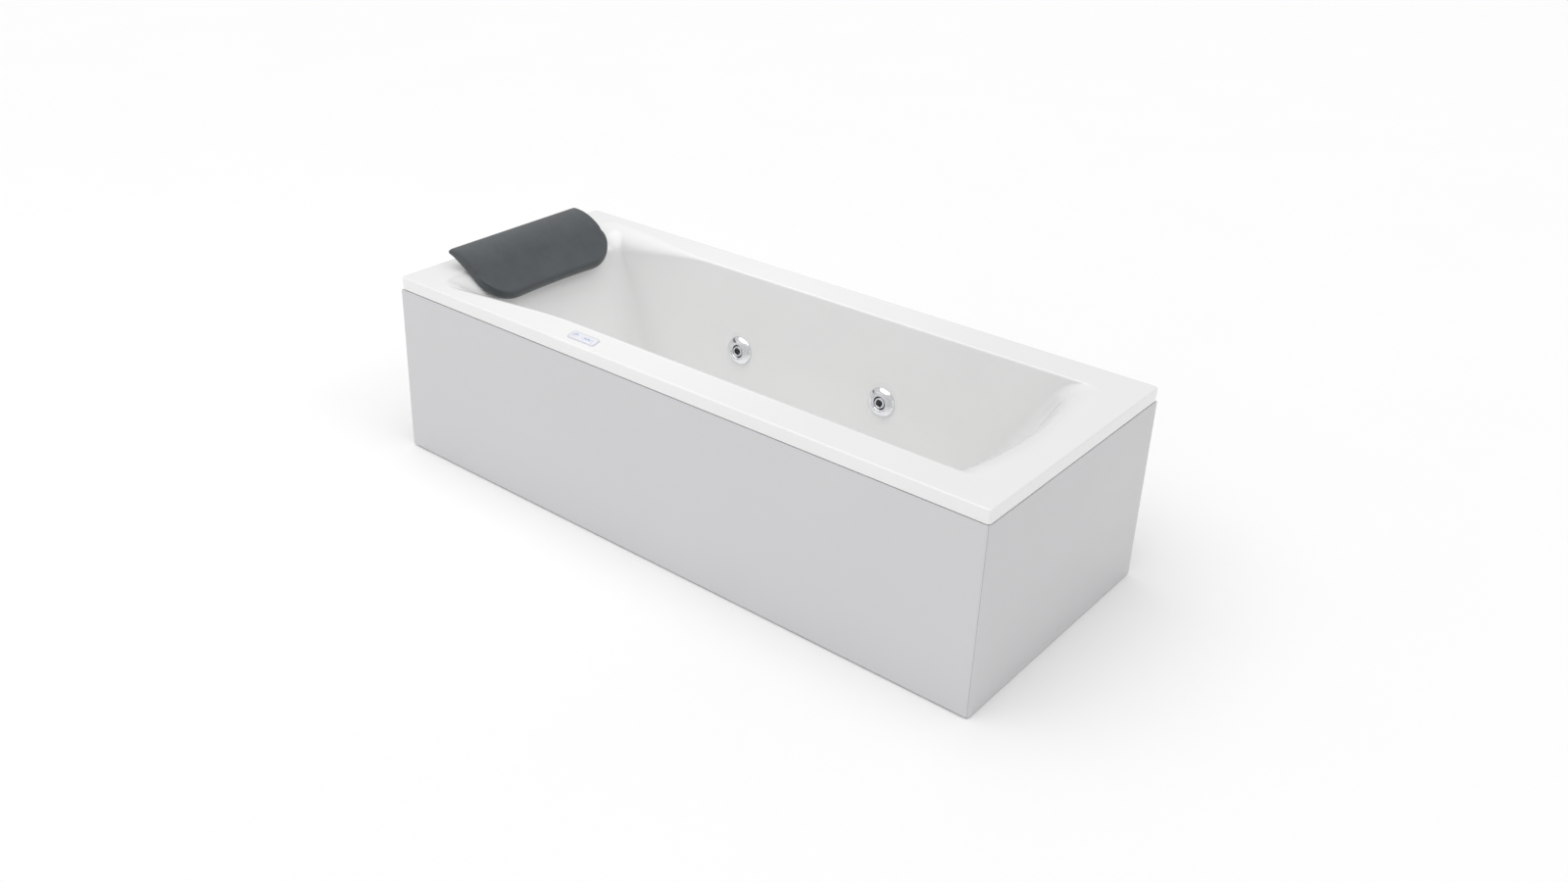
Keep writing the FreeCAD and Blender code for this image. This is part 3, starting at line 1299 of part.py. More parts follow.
def control_box():
    """Closed electronics box on the shelf: keypad and pump glands on its lid, the supply's in its end."""
    half = box_length / 2
    y0 = box_y - box_width / 2
    top = shelf_top + box_height
    body = rounded_plate(half, box_width / 2, 8, shelf_top, top - 14, (pump_x, box_y))
    lid = rounded_plate(half + 2, box_width / 2 + 2, 9, top - 14, top, (pump_x, box_y))
    body = body.fuse(lid)
    glands = (
        (V(keypad_gland_x, box_y, top), Z_DIR, keypad_cable_radius),
        (V(pump_cable_x(), box_y, top), Z_DIR, pump_cable_radius),
        (V(pump_x - half, box_y, shelf_top + supply_gland_rise), -X_DIR, supply_hole_radius))
    for spot, outward, radius in glands:
        body = body.fuse(hexagon(gland_across, spot, outward, gland_length))
        body = body.cut(rod(radius + glue_gap, spot - outward * 2, outward, gland_length + 4))
    for x in (pump_x - half + 12, pump_x + half - 12):
        body = body.cut(rod(2.5, (x, y0 + 8, top - 3), Z_DIR, 4))
        body = body.cut(rod(2.5, (x, y0 + box_width - 8, top - 3), Z_DIR, 4))
    return body


def pump_cable_x():
    """The pump cable's plane: under the water pipe's side, in the terminal box's end."""
    return pump_x + 26


def pump_cable():
    """Supply cable from the control box to the motor's terminal box."""
    top = shelf_top + box_height - 1
    level = motor_axis + motor_radius + terminal_box_height / 2
    x = pump_cable_x()
    far_end = motor_front + terminal_box_start + terminal_box_length
    points = [(x, box_y, top), (x, box_y, level), (x, far_end, level)]
    return swept(points, pump_cable_radius)


def keypad_cable():
    """Cable from the keypad along the underside of the deck and down to the control box."""
    level = height - keypad_cable_drop
    start = keypad_x - keypad_length / 2 + keypad_housing_inset + 4
    top = shelf_top + box_height - 1
    x = keypad_cable_margin - half_length
    points = [(start, keypad_y, level), (x + 68, keypad_y, level), (x + 25, keypad_y + 25, level),
              (x, keypad_y + 68, level), (x, 60, level), (x + 5, 115, level - 15),
              (x + 13, box_y - 7, level - 57), (x + 21, box_y, level - 117), (keypad_gland_x, box_y, top)]
    return swept(points, keypad_cable_radius)


# ---------------------------------------------------------------- head cushion
def round_off(from_edge, reach):
    """How much of a rounding is lost near its edge: 1 at the edge, 0 from its reach inwards."""
    share = max(0.0, 1 - from_edge / reach)
    return 1 - math.sqrt(1 - share * share)


def cushion_section(y):
    """The cushion's side profile at a distance from the centre line."""
    from_side = cushion_half - abs(y)
    thinned = round_off(from_side, cushion_side_reach)
    bulk = cushion_bulk - (cushion_bulk - cushion_side_bulk) * thinned
    toe_bulk = cushion_toe_bulk - (cushion_toe_bulk - cushion_side_bulk) * thinned
    fall = cushion_side_fall * round_off(from_side, cushion_side_round)
    pull = cushion_toe_round * round_off(from_side, cushion_toe_round)
    pull += cushion_toe_hollow * (1 - (y / cushion_half) ** 2)
    back = V(cushion_back_margin - half_length, y, height + cushion_back_rise - fall)
    bend = V(cushion_bend_margin - half_length, y, height + cushion_bend_rise - fall)
    full_toe = V(cushion_toe_margin - half_length, y, height - cushion_toe_drop - fall)
    upper_run = (bend - back).normalize()
    upper_out = V(-upper_run.z, 0, upper_run.x)
    lower_run = (full_toe - bend).normalize()
    lower_out = V(-lower_run.z, 0, lower_run.x)
    toe = full_toe - lower_run * pull
    crest = (back + bend) * 0.5 + upper_out * cushion_crest
    hollow = (bend + toe) * 0.5 - lower_out * cushion_hollow
    under_back = back + V(1, 0, fall - cushion_edge)
    back_middle = (back + under_back) * 0.5 - X_DIR * (cushion_edge / 3)
    under_toe = toe - lower_out * toe_bulk
    toe_middle = (toe + under_toe) * 0.5 + lower_run * (toe_bulk / 4)
    under_bend = bend - upper_out * bulk
    return Part.Wire([
        Part.Arc(back, crest, bend).toShape(),
        Part.Arc(bend, hollow, toe).toShape(),
        Part.Arc(toe, toe_middle, under_toe).toShape(),
        Part.LineSegment(under_toe, under_bend).toShape(),
        Part.LineSegment(under_bend, under_back).toShape(),
        Part.Arc(under_back, back_middle, back).toShape()])


def cushion():
    """Moulded head cushion: waved in profile, rounded at its sides, seated over the deck's edge."""
    spots = []
    for share in (0.0, 0.3, 0.65, 1.0):
        spots.append(cushion_half - cushion_side_round * share)
    spots += [cushion_half - cushion_toe_round * share for share in (0.25, 0.5, 1.0)]
    spots.append(cushion_half / 4)
    rows = sorted(-s for s in spots) + [0.0] + sorted(spots)
    raw = Part.makeLoft([cushion_section(y) for y in rows], True, True)
    room = basin(-cushion_gap, -cushion_gap, cushion_back_rise * 3)
    sky = block(-half_length, half_length, -half_width, half_width, height + cushion_gap,
                height + cushion_back_rise * 3)
    body = raw.common(room.fuse(sky))
    for peg in peg_rods(0.3):
        body = body.cut(peg)
    return body


def peg_rods(grow):
    """The two pegs as plain rods, or grown as the holes that take them."""
    rods = []
    for side in (1, -1):
        start = (peg_x, side * peg_offset, height - peg_foot)
        rods.append(rod(peg_radius + grow, start, Z_DIR, peg_foot + peg_rise + grow))
    return rods


def cushion_pegs():
    """Pegs moulded into the cushion's back that drop into holes in the deck."""
    return compound(peg_rods(0.0))


# ---------------------------------------------------------------- the whole tub
def all_nodes():
    """Every node of the tub by name."""
    nodes = {
        "shell": shell(),
        "head_cushion": cushion(),
        "cushion_pegs": cushion_pegs(),
        "front_panel": front_panel(),
        "end_panel": end_panel(),
        "panel_clips": panel_clips(),
        "panel_brackets": panel_brackets(),
        "base_board": base_board(),
        "frame_rail_front": frame_rail(-1),
        "frame_rail_rear": frame_rail(1),
        "frame_crossbars": frame_crossbars(),
        "levelling_feet": levelling_feet(),
        "levelling_nuts": levelling_nuts(),
        "pump_shelf": pump_shelf(),
        "suction_body": set_at(suction_body(), *suction_frame()),
        "suction_grille": set_at(suction_grille(), *suction_frame()),
        "suction_pipe": suction_pipe(),
        "water_pipe_front": water_pipe(-1),
        "water_pipe_rear": water_pipe(1),
        "water_tee": water_tee(),
        "air_hose_front": air_hose(-1),
        "air_hose_rear": air_hose(1),
        "air_intake": air_intake(),
        "pump_volute": pump_volute(),
        "pump_impeller": pump_impeller(),
        "motor_housing": motor_housing(),
        "motor_stator": motor_stator(),
        "motor_rotor": motor_rotor(),
        "motor_bearings": motor_bearings(),
        "motor_fan": motor_fan(),
        "fan_cover": fan_cover(),
        "pump_base": pump_base(),
        "drain_flange": drain_flange(),
        "drain_plug": drain_plug(),
        "drain_body": drain_body(),
        "waste_pipe": waste_pipe(),
        "trap": trap(),
        "overflow_body": overflow_body(),
        "overflow_knob": overflow_knob(),
        "overflow_pipe": overflow_pipe(),
        "drain_cable": drain_cable(),
        "keypad_plate": keypad_plate(),
        "keypad_button_round": keypad_button_round(),
        "keypad_button_bar": keypad_button_bar(),
        "control_box": control_box(),
        "keypad_cable": keypad_cable(),
        "pump_cable": pump_cable(),
    }
    nuts = []
    for name, frame in jet_frames().items():
        nodes["jet_body_" + name] = set_at(jet_body(), *frame)
        nodes["jet_face_" + name] = set_at(jet_face(), *frame)
        nodes["jet_nozzle_" + name] = set_at(jet_nozzle(), *frame)
        nuts.append(set_at(jet_nut(), *frame))
    nodes["jet_nuts"] = compound(nuts)
    return nodes


os.makedirs("parts", exist_ok=True)
for name, shape in all_nodes().items():
    shape.exportStep("parts/" + name + ".step")
    print(name, len(shape.Solids), "solids", round(shape.Volume), "mm3", "valid" if shape.isValid() else "NOT VALID")
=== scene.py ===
import json
import math

import bmesh
import bpy
from bpy.props import FloatProperty, FloatVectorProperty, PointerProperty
from bpy.types import Operator, Panel, PropertyGroup
from mathutils import Matrix, Vector

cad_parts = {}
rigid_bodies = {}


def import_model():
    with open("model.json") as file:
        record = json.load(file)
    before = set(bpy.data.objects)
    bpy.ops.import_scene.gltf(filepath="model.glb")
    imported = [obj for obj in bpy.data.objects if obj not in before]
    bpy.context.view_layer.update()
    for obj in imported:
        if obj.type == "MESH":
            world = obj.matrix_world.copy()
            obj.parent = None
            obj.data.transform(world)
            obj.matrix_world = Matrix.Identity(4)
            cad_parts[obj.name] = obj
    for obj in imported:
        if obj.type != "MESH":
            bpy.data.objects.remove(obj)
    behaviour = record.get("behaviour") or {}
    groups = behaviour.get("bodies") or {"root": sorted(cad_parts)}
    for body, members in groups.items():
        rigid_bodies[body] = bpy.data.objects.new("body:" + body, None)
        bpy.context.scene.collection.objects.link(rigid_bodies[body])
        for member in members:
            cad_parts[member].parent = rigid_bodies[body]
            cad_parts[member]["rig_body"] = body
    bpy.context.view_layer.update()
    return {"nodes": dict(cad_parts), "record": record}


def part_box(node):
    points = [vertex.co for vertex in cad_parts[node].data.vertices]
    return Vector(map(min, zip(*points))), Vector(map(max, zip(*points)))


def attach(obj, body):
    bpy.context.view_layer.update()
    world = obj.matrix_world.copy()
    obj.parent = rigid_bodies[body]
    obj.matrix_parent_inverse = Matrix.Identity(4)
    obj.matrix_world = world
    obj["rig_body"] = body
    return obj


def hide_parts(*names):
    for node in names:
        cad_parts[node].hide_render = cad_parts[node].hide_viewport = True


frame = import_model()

bl_info = {
    "name": "Jetted bathtub",
    "version": (1, 0, 0),
    "blender": (4, 5, 0),
    "location": "3D View > Sidebar > Bathtub",
    "description": "Builds the looks of a jetted bathtub around its frame",
    "category": "Object",
}

RIM_LOW, RIM_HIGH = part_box("shell")
DECK = RIM_HIGH.z
SQUARE = math.pi / 2
SMOOTH_LIMIT = math.radians(32)
CUSHION_SMOOTH_LIMIT = math.radians(70)
BEVEL_LIMIT = math.radians(40)
FLAT_LIMIT = math.radians(0.5)
MERGE_DISTANCE = 1e-6


# ------------------------------------------------------------------ sizes and colours
def size(name, description, default):
    """A length that a user may change."""
    return FloatProperty(name=name, description=description, default=default, unit="LENGTH", precision=4)


def angle(name, description, degrees):
    """An angle that a user may change."""
    return FloatProperty(name=name, description=description, default=math.radians(degrees),
                         unit="ROTATION")


def colour(name, description, red, green, blue):
    """A surface colour that a user may change."""
    return FloatVectorProperty(name=name, description=description, default=(red, green, blue),
                               subtype="COLOR", min=0, max=1)


class TubSizes(PropertyGroup):
    """Sizes of the acrylic shell."""
    wall: size("Wall", "Thickness of the acrylic", 0.006)
    rim_corner: size("Rim corner", "Radius of the rim's corners in plan", 0.009)
    rim_edge: size("Rim edge", "Rounded top edge of the rim", 0.004)
    skirt_height: size("Skirt height", "Turned-down edge of the rim", 0.033)
    skirt_draft: size("Skirt draft", "How far the skirt leans in at its lower edge", 0.001)
    basin_depth: size("Basin depth", "Deck to basin floor", 0.395)
    side_deck: size("Side deck", "Deck along both long sides", 0.093)
    side_lean: angle("Side lean", "Lean of the long walls", 5.2)
    inner_edge: size("Inner edge", "Rounding between the deck and the long walls", 0.004)
    head_flare: size("Head flare", "That rounding where it has widened at the head end", 0.055)
    flare_start: size("Flare start", "Where the rounding begins to widen, along X", -0.330)
    flare_end: size("Flare end", "Where it has its full width, along X", -0.700)
    flare_side: size("Flare side", "Centre line to where the head end's outline begins to move out", 0.160)
    head_deck: size("Head deck", "Flat deck at the head end", 0.062)
    head_roll: size("Head roll", "Radius from the deck into the backrest", 0.090)
    head_slope: angle("Head slope", "Backrest from level", 69.5)
    head_bow: size("Head bow", "Radius of the head end in plan", 1.100)
    foot_deck: size("Foot deck", "Flat deck at the foot end", 0.050)
    foot_roll: size("Foot roll", "Radius from the deck into the foot slope", 0.100)
    foot_slope: angle("Foot slope", "Foot slope from level", 60.0)
    foot_bow: size("Foot bow", "Radius of the foot end in plan", 0.920)
    corner_at_deck: size("Corner at the deck", "Basin corner radius at the deck", 0.035)
    corner_at_floor: size("Corner at the floor", "Basin corner radius at the floor", 0.085)
    floor_round: size("Floor rounding", "Radius from the walls into the floor", 0.060)


class CushionSizes(PropertyGroup):
    """Sizes of the head cushion."""
    half: size("Half width", "Centre line to the cushion's side", 0.225)
    back: size("Upper edge", "Upper edge along X", -0.806)
    back_rise: size("Upper edge rise", "Upper edge above the deck", 0.050)
    bend: size("Bend", "Where the wave turns from crest to hollow", -0.713)
    bend_rise: size("Bend rise", "Bend above the deck", 0.020)
    toe: size("Lower edge", "Lower edge along X", -0.638)
    toe_drop: size("Lower edge drop", "Lower edge below the deck", 0.046)
    crest: size("Crest", "Bulge of the upper half", 0.009)
    hollow: size("Hollow", "Dip of the lower half", 0.002)
    edge: size("Edge", "Thickness at the upper edge", 0.013)
    toe_bulk: size("Toe bulk", "Thickness at the lower edge", 0.036)
    bulk: size("Bulk", "Thickness at the bend", 0.060)
    side_bulk: size("Side bulk", "Thickness along the sides", 0.020)
    side_reach: size("Side reach", "How far in from the sides it grows to the full thickness", 0.110)
    toe_round: size("Toe corners", "Corners of the lower edge", 0.090)
    toe_hollow: size("Toe hollow", "How far the lower edge is drawn up in its middle", 0.008)
    side_round: size("Side rounding", "Width of the rounding along the sides", 0.011)
    side_fall: size("Side fall", "Height lost over the rounding of a side", 0.0055)
    gap: size("Gap", "Clearance to the shell", 0.0005)


class FittingSizes(PropertyGroup):
    """Places and sizes of the fittings in the shell."""
    jet_reach: size("Jet place", "Jets before and behind the middle", 0.222)
    jet_depth: size("Jet depth", "Deck to a jet's centre", 0.209)
    jet_hole: size("Jet hole", "Radius of a jet's hole", 0.0243)
    suction_x: size("Suction place", "Suction fitting along the front wall", -0.345)
    suction_depth: size("Suction depth", "Deck to the suction fitting", 0.270)
    suction_hole: size("Suction hole", "Radius of the suction hole", 0.0303)
    drain_x: size("Drain place", "Drain along the floor", 0.400)
    drain_hole: size("Drain hole", "Radius of the drain hole", 0.026)
    overflow_depth: size("Overflow depth", "Deck to the overflow", 0.125)
    overflow_hole: size("Overflow hole", "Radius of the overflow hole", 0.0243)
    peg_x: size("Peg place", "Cushion pegs along X", -0.797)
    peg_offset: size("Peg offset", "Centre line to a cushion peg", 0.095)
    peg_hole: size("Peg hole", "Radius of a peg's hole", 0.00605)


class Colours(PropertyGroup):
    """Colours of the finishes."""
    acrylic: colour("Acrylic", "Shell", 0.86, 0.86, 0.855)
    panel: colour("Panels", "Front and end panel", 0.63, 0.63, 0.64)
    cushion: colour("Cushion", "Head cushion", 0.058, 0.066, 0.072)
    chrome: colour("Chrome", "Jets, drain and overflow", 0.86, 0.87, 0.89)
    mark: colour("Marks", "Printed marks on the keypad", 0.10, 0.22, 0.55)


# ------------------------------------------------------------------ bmesh helpers
def in_place(points, z):
    """Level points of an outline at a height."""
    return [Vector((x, y, z)) for x, y in points]


def arc_points(centre_x, centre_y, radius, start, end, count):
    """Points of an arc, its last one left out."""
    turns = [start + (end - start) * k / count for k in range(count)]
    return [(centre_x + radius * math.cos(t), centre_y + radius * math.sin(t)) for t in turns]


def line_points(start, end, count):
    """Points of a straight run, its last one left out."""
    return [(start[0] + (end[0] - start[0]) * k / count, start[1] + (end[1] - start[1]) * k / count)
            for k in range(count)]


def loft(rings):
    """Extrudes a ring of points from level to level and caps both ends."""
    bm = bmesh.new()
    place = bm.verts.layers.int.new("place")
    start = bmesh.ops.create_circle(bm, segments=len(rings[0]), radius=1)["verts"]
    for number, vert in enumerate(start):
        vert[place] = number
        vert.co = rings[0][number]
    first = list(bm.edges)
    edges = first
    for ring in rings[1:]:
        grown = bmesh.ops.extrude_edge_only(bm, edges=edges)["geom"]
        edges = [g for g in grown if isinstance(g, bmesh.types.BMEdge) and g.is_boundary]
        for vert in grown:
            if isinstance(vert, bmesh.types.BMVert):
                vert.co = ring[vert[place]]
    bmesh.ops.contextual_create(bm, geom=first)
    bmesh.ops.contextual_create(bm, geom=edges)
    bmesh.ops.recalc_face_normals(bm, faces=bm.faces)
    return bm


ARC_SHARE = 0.49


def rounded_profile(corners, steps=5):
    """A (radius, height) line whose corners, given as (r, z, rounding), become arcs."""
    line = []
    for number, (r, z, rounding) in enumerate(corners):
        here = Vector((r, z))
        if not rounding or number in (0, len(corners) - 1):
            line.append(here)
            continue
        back = Vector(corners[number - 1][:2]) - here
        ahead = Vector(corners[number + 1][:2]) - here
        reach = min(rounding, back.length * ARC_SHARE, ahead.length * ARC_SHARE)
        a = here + back.normalized() * reach
        b = here + ahead.normalized() * reach
        for k in range(steps + 1):
            t = k / steps
            line.append(a * (1 - t) ** 2 + here * (2 * t * (1 - t)) + b * t ** 2)
    return line


def spun(profile, steps=96):
    """Turns a (radius, height) line about local Z."""
    bm = bmesh.new()
    verts = [bm.verts.new((p[0], 0, p[1])) for p in profile]
    edges = [bm.edges.new(pair) for pair in zip(verts, verts[1:])]
    bmesh.ops.spin(bm, geom=verts + edges, cent=(0, 0, 0), axis=(0, 0, 1), angle=2 * math.pi,
                   steps=steps, use_merge=True)
    bmesh.ops.remove_doubles(bm, verts=bm.verts, dist=MERGE_DISTANCE)
    bmesh.ops.recalc_face_normals(bm, faces=bm.faces)
    return bm


def cylinder(bm, radius, low, high, place, segments=48):
    """A round bar between two local heights."""
    middle = place @ Matrix.Translation((0, 0, (low + high) / 2))
    bmesh.ops.create_cone(bm, cap_ends=True, segments=segments, radius1=radius, radius2=radius,
                          depth=high - low, matrix=middle)


def ball(bm, place, long, wide, high, around=20, upright=12):
    """A ball stretched along its three axes, with its rings of faces."""
    bmesh.ops.create_uvsphere(bm, u_segments=around, v_segments=upright, radius=1,
                              matrix=place @ Matrix.Diagonal((long, wide, high, 1)))


def top_middle(low, high):
    """Middle of a box's top."""
    return Vector(((low.x + high.x) / 2, (low.y + high.y) / 2, high.z))


def standing_frame(origin, normal, along):
    """Matrix that puts local Z on a normal and local X along a direction."""
    side = normal.cross(along)
    turned = Matrix((along, side, normal)).transposed().to_4x4()
    return Matrix.Translation(origin) @ turned


def add_piece(context, name, bm, body, finish, replaces=(), smooth=SMOOTH_LIMIT):
    """Makes a bmesh into a finished piece that rides on a body."""
    mesh = bpy.data.meshes.new(name)
    bm.to_mesh(mesh)
    bm.free()
    mesh.materials.append(finish)
    for polygon in mesh.polygons:
        polygon.use_smooth = True
    mesh.set_sharp_from_angle(angle=smooth)
    piece = bpy.data.objects.new(name, mesh)
    context.scene.collection.objects.link(piece)
    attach(piece, body)
    if replaces:
        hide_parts(*replaces)
    return piece


def add_bevel(piece, width, segments):
    """Rounds a piece's sharp edges."""
    rounding = piece.modifiers.new("Rounding", "BEVEL")
    rounding.width = width
    rounding.segments = segments
    rounding.limit_method = "ANGLE"
    rounding.angle_limit = BEVEL_LIMIT


def cut_holes(context, bm, cutter):
    """Takes a cutter's volume out of a closed bmesh."""
    meshes = []
    things = []
    for source, name in ((bm, "cut_body"), (cutter, "cut_tool")):
        mesh = bpy.data.meshes.new(name)
        source.to_mesh(mesh)
        source.free()
        thing = bpy.data.objects.new(name, mesh)
        context.scene.collection.objects.link(thing)
        meshes.append(mesh)
        things.append(thing)
    holes = things[0].modifiers.new("Holes", "BOOLEAN")
    holes.operation = "DIFFERENCE"
    holes.solver = "EXACT"
    holes.object = things[1]
    evaluated = things[0].evaluated_get(context.evaluated_depsgraph_get())
    result = bmesh.new()
    result.from_mesh(evaluated.to_mesh())
    evaluated.to_mesh_clear()
    for thing in things:
        bpy.data.objects.remove(thing)
    for mesh in meshes:
        bpy.data.meshes.remove(mesh)
    return result


def node_copy(node):
    """A CAD node's mesh with its loose triangles merged into whole faces."""
    bm = bmesh.new()
    bm.from_mesh(frame["nodes"][node].data)
    bmesh.ops.remove_doubles(bm, verts=bm.verts, dist=MERGE_DISTANCE)
    bmesh.ops.dissolve_limit(bm, angle_limit=FLAT_LIMIT, verts=bm.verts, edges=bm.edges)
    return bm


# ------------------------------------------------------------------ materials
NOISE_RANGE = (0.3, 0.7)        # where nearly all of the noise lies
PAD_FLAT = 0.0525               # pressed pad behind a jet: radius of its flat and of its foot
PAD_FOOT = 0.0565
PAD_RISE = 0.0006


class Finish:
    """A procedural material on object coordinates, built step by step."""

    def __init__(self, name, base, roughness, **sockets):
        self.material = bpy.data.materials.new(name)
        self.material.use_nodes = True
        self.tree = self.material.node_tree
        self.shader = self.tree.nodes["Principled BSDF"]
        self.base = tuple(base)[:3]
        self.roughness = roughness
        self.shader.inputs["Base Color"].default_value = (*self.base, 1)
        self.shader.inputs["Roughness"].default_value = roughness
        for socket, value in sockets.items():
            self.shader.inputs[socket.replace("_", " ")].default_value = value
        self.place = self.tree.nodes.new("ShaderNodeTexCoord").outputs["Object"]
        self.height = None

    def node(self, kind, **settings):
        """Adds a node; settings are its properties."""
        made = self.tree.nodes.new(kind)
        for key, value in settings.items():
            setattr(made, key, value)
        return made

    def link(self, start, end):
        self.tree.links.new(start, end)

    def stretched(self, x, y, z):
        """Object coordinates scaled along each axis."""
        mapping = self.node("ShaderNodeMapping")
        mapping.inputs["Scale"].default_value = (x, y, z)
        self.link(self.place, mapping.inputs["Vector"])
        return mapping.outputs["Vector"]

    def noise(self, scale, detail=3.0, rough=0.55, place=None):
        """Fractal noise from 0 to 1."""
        made = self.node("ShaderNodeTexNoise")
        made.inputs["Scale"].default_value = scale
        made.inputs["Detail"].default_value = detail
        made.inputs["Roughness"].default_value = rough
        self.link(place or self.place, made.inputs["Vector"])
        return made.outputs["Fac"]

    def cells(self, scale, place=None):
        """Distance in a cell pattern."""
        made = self.node("ShaderNodeTexVoronoi")
        made.inputs["Scale"].default_value = scale
        self.link(place or self.place, made.inputs["Vector"])
        return made.outputs["Distance"]

    def ranged(self, value, low, high, out_low, out_high, blend="LINEAR"):
        """Maps a value from one range onto another."""
        made = self.node("ShaderNodeMapRange", interpolation_type=blend)
        for number, limit in enumerate((low, high, out_low, out_high), start=1):
            made.inputs[number].default_value = limit
        self.link(value, made.inputs[0])
        return made.outputs[0]

    def tint(self, value, darkest, lightest, low=NOISE_RANGE[0], high=NOISE_RANGE[1]):
        """Colours the surface between two shades of its base."""
        ramp = self.node("ShaderNodeValToRGB")
        ramp.color_ramp.elements[0].position = low
        ramp.color_ramp.elements[1].position = high
        for element, shade in zip(ramp.color_ramp.elements, (darkest, lightest)):
            element.color = (*[min(1.0, c * shade) for c in self.base], 1)
        self.link(value, ramp.inputs["Fac"])
        self.link(ramp.outputs["Color"], self.shader.inputs["Base Color"])
        return self

    def gloss(self, value, spread):
        """Varies the roughness about its base."""
        varied = self.ranged(value, *NOISE_RANGE, max(0.0, self.roughness - spread), self.roughness + spread)
        self.link(varied, self.shader.inputs["Roughness"])
        return self

    def bump(self, value, distance, strength=1.0):
        """Adds relief; each call lies on the one before."""
        made = self.node("ShaderNodeBump")
        made.inputs["Distance"].default_value = distance
        made.inputs["Strength"].default_value = strength
        self.link(value, made.inputs["Height"])
        if self.height:
            self.link(self.height, made.inputs["Normal"])
        self.height = made.outputs["Normal"]
        self.link(self.height, self.shader.inputs["Normal"])
        return self


def clouded(made, clouds, shades, marks, spread, grain, relief, strength=1.0):
    """Clouds the colour, varies the gloss and adds a fine relief; clouds, marks and grain are noises."""
    made.tint(made.noise(*clouds), *shades)
    made.gloss(made.noise(*marks), spread)
    return made.bump(made.noise(*grain), relief, strength).material


def plastic(name, base, roughness, grain=900, relief=0.00002):
    """Moulded plastic: faint clouding, fine grain."""
    made = Finish(name, base, roughness)
    return clouded(made, (9, 4), (0.94, 1.03), (60, 3), 0.05, (grain, 2), relief)


def metal(name, base, roughness, spread=0.06):
    """Plain metal with handling marks."""
    made = Finish(name, base, roughness, Metallic=1.0)
    return clouded(made, (14, 5), (0.90, 1.04), (110, 4), spread, (450, 3), 0.00001)


def acrylic_finish(tint):
    """Glossy sanitary acrylic: deep clear gloss, very slight waviness, pressed pads behind the jets."""
    made = Finish("glossy_acrylic", tint, 0.16, Coat_Weight=0.6, Coat_Roughness=0.04, IOR=1.49)
    made.tint(made.noise(3.2, 4), 0.985, 1.01)
    made.gloss(made.noise(26, 4), 0.04)
    made.bump(made.noise(11, 2), 0.00025, 0.35)
    pads = made.node("ShaderNodeVectorMath", operation="ABSOLUTE")
    made.link(made.place, pads.inputs[0])
    spot = made.node("ShaderNodeVectorMath", operation="DISTANCE")
    spot.inputs[1].default_value = jet_frame(1, 1)[0]
    made.link(pads.outputs[0], spot.inputs[0])
    pad = made.ranged(spot.outputs["Value"], PAD_FLAT, PAD_FOOT, 1.0, 0.0, "SMOOTHSTEP")
    return made.bump(pad, PAD_RISE, 0.6).material


def panel_finish(tint):
    """Acrylic sheet, greyer and less glossy than the shell."""
    made = Finish("panel_sheet", tint, 0.34, IOR=1.49)
    return clouded(made, (1.8, 3), (0.985, 1.01), (18, 4), 0.04, (7, 2), 0.0004, 0.3)


def cushion_finish(tint):
    """Soft moulded polyurethane skin: matte, with a fine leathery grain and soft clouding."""
    made = Finish("soft_cushion_skin", tint, 0.62, Sheen_Weight=0.25, Sheen_Roughness=0.5,
                  Specular_IOR_Level=0.42)
    made.tint(made.noise(12, 5, 0.6), 0.88, 1.10)
    made.gloss(made.noise(70, 4), 0.07)
    made.bump(made.cells(900), 0.00012, 0.5)
    made.bump(made.noise(2600, 2), 0.00005, 0.5)
    return made.bump(made.noise(24, 2), 0.0004, 0.25).material


def chrome_finish(name, tint, roughness):
    """Polished chrome with fine hairlines."""
    made = Finish(name, tint, roughness, Metallic=1.0)
    made.tint(made.noise(40, 4), 0.95, 1.02)
    made.gloss(made.noise(1.0, 5, 0.7, made.stretched(900, 900, 60)), 0.03)
    return made.bump(made.noise(220, 2), 0.000008, 0.5).material


def chipboard_finish(name, base, fleck):
    """Pressed wood: small chips under a clear sealer."""
    made = Finish(name, base, 0.62)
    chips = made.cells(fleck, place=made.stretched(1.0, 0.45, 1.0))
    mixed = made.node("ShaderNodeMath", operation="MULTIPLY_ADD")
    mixed.inputs[1].default_value = 0.7
    made.link(chips, mixed.inputs[0])
    made.link(made.noise(30, 5), mixed.inputs[2])
    made.tint(mixed.outputs[0], 0.62, 1.18, 0.45, 1.05)
    made.gloss(made.noise(80, 3), 0.08)
    return made.bump(chips, 0.0002, 0.5).material


def plywood_finish(base):
    """Varnished birch plywood with long grain."""
    made = Finish("varnished_plywood", base, 0.45)
    grain = made.noise(1.0, 6, 0.65, made.stretched(9, 160, 60))
    made.tint(grain, 0.72, 1.12)
    made.gloss(made.noise(35, 3), 0.07)
    return made.bump(grain, 0.00018, 0.5).material


def hose_finish(base):
    """Flexible clear hose, slightly milky."""
    made = Finish("clear_hose", base, 0.28, Transmission_Weight=0.25, IOR=1.45)
    return clouded(made, (22, 3), (0.93, 1.04), (70, 3), 0.06, (160, 2), 0.0002, 0.5)


def casting_finish(base):
    """Sand-blasted aluminium casting."""
    made = Finish("motor_casting", base, 0.48, Metallic=1.0)
    return clouded(made, (20, 5), (0.80, 1.08), (90, 4), 0.08, (950, 3), 0.00012, 0.8)


def winding_finish(base):
    """Enamelled copper wire, wound round the axle."""
    made = Finish("copper_winding", base, 0.38, Metallic=0.85)
    wires = made.noise(1.0, 2, 0.4, made.stretched(60, 1200, 60))
    made.tint(wires, 0.70, 1.15)
    made.gloss(made.noise(120, 3), 0.08)
    return made.bump(wires, 0.0004, 0.8).material


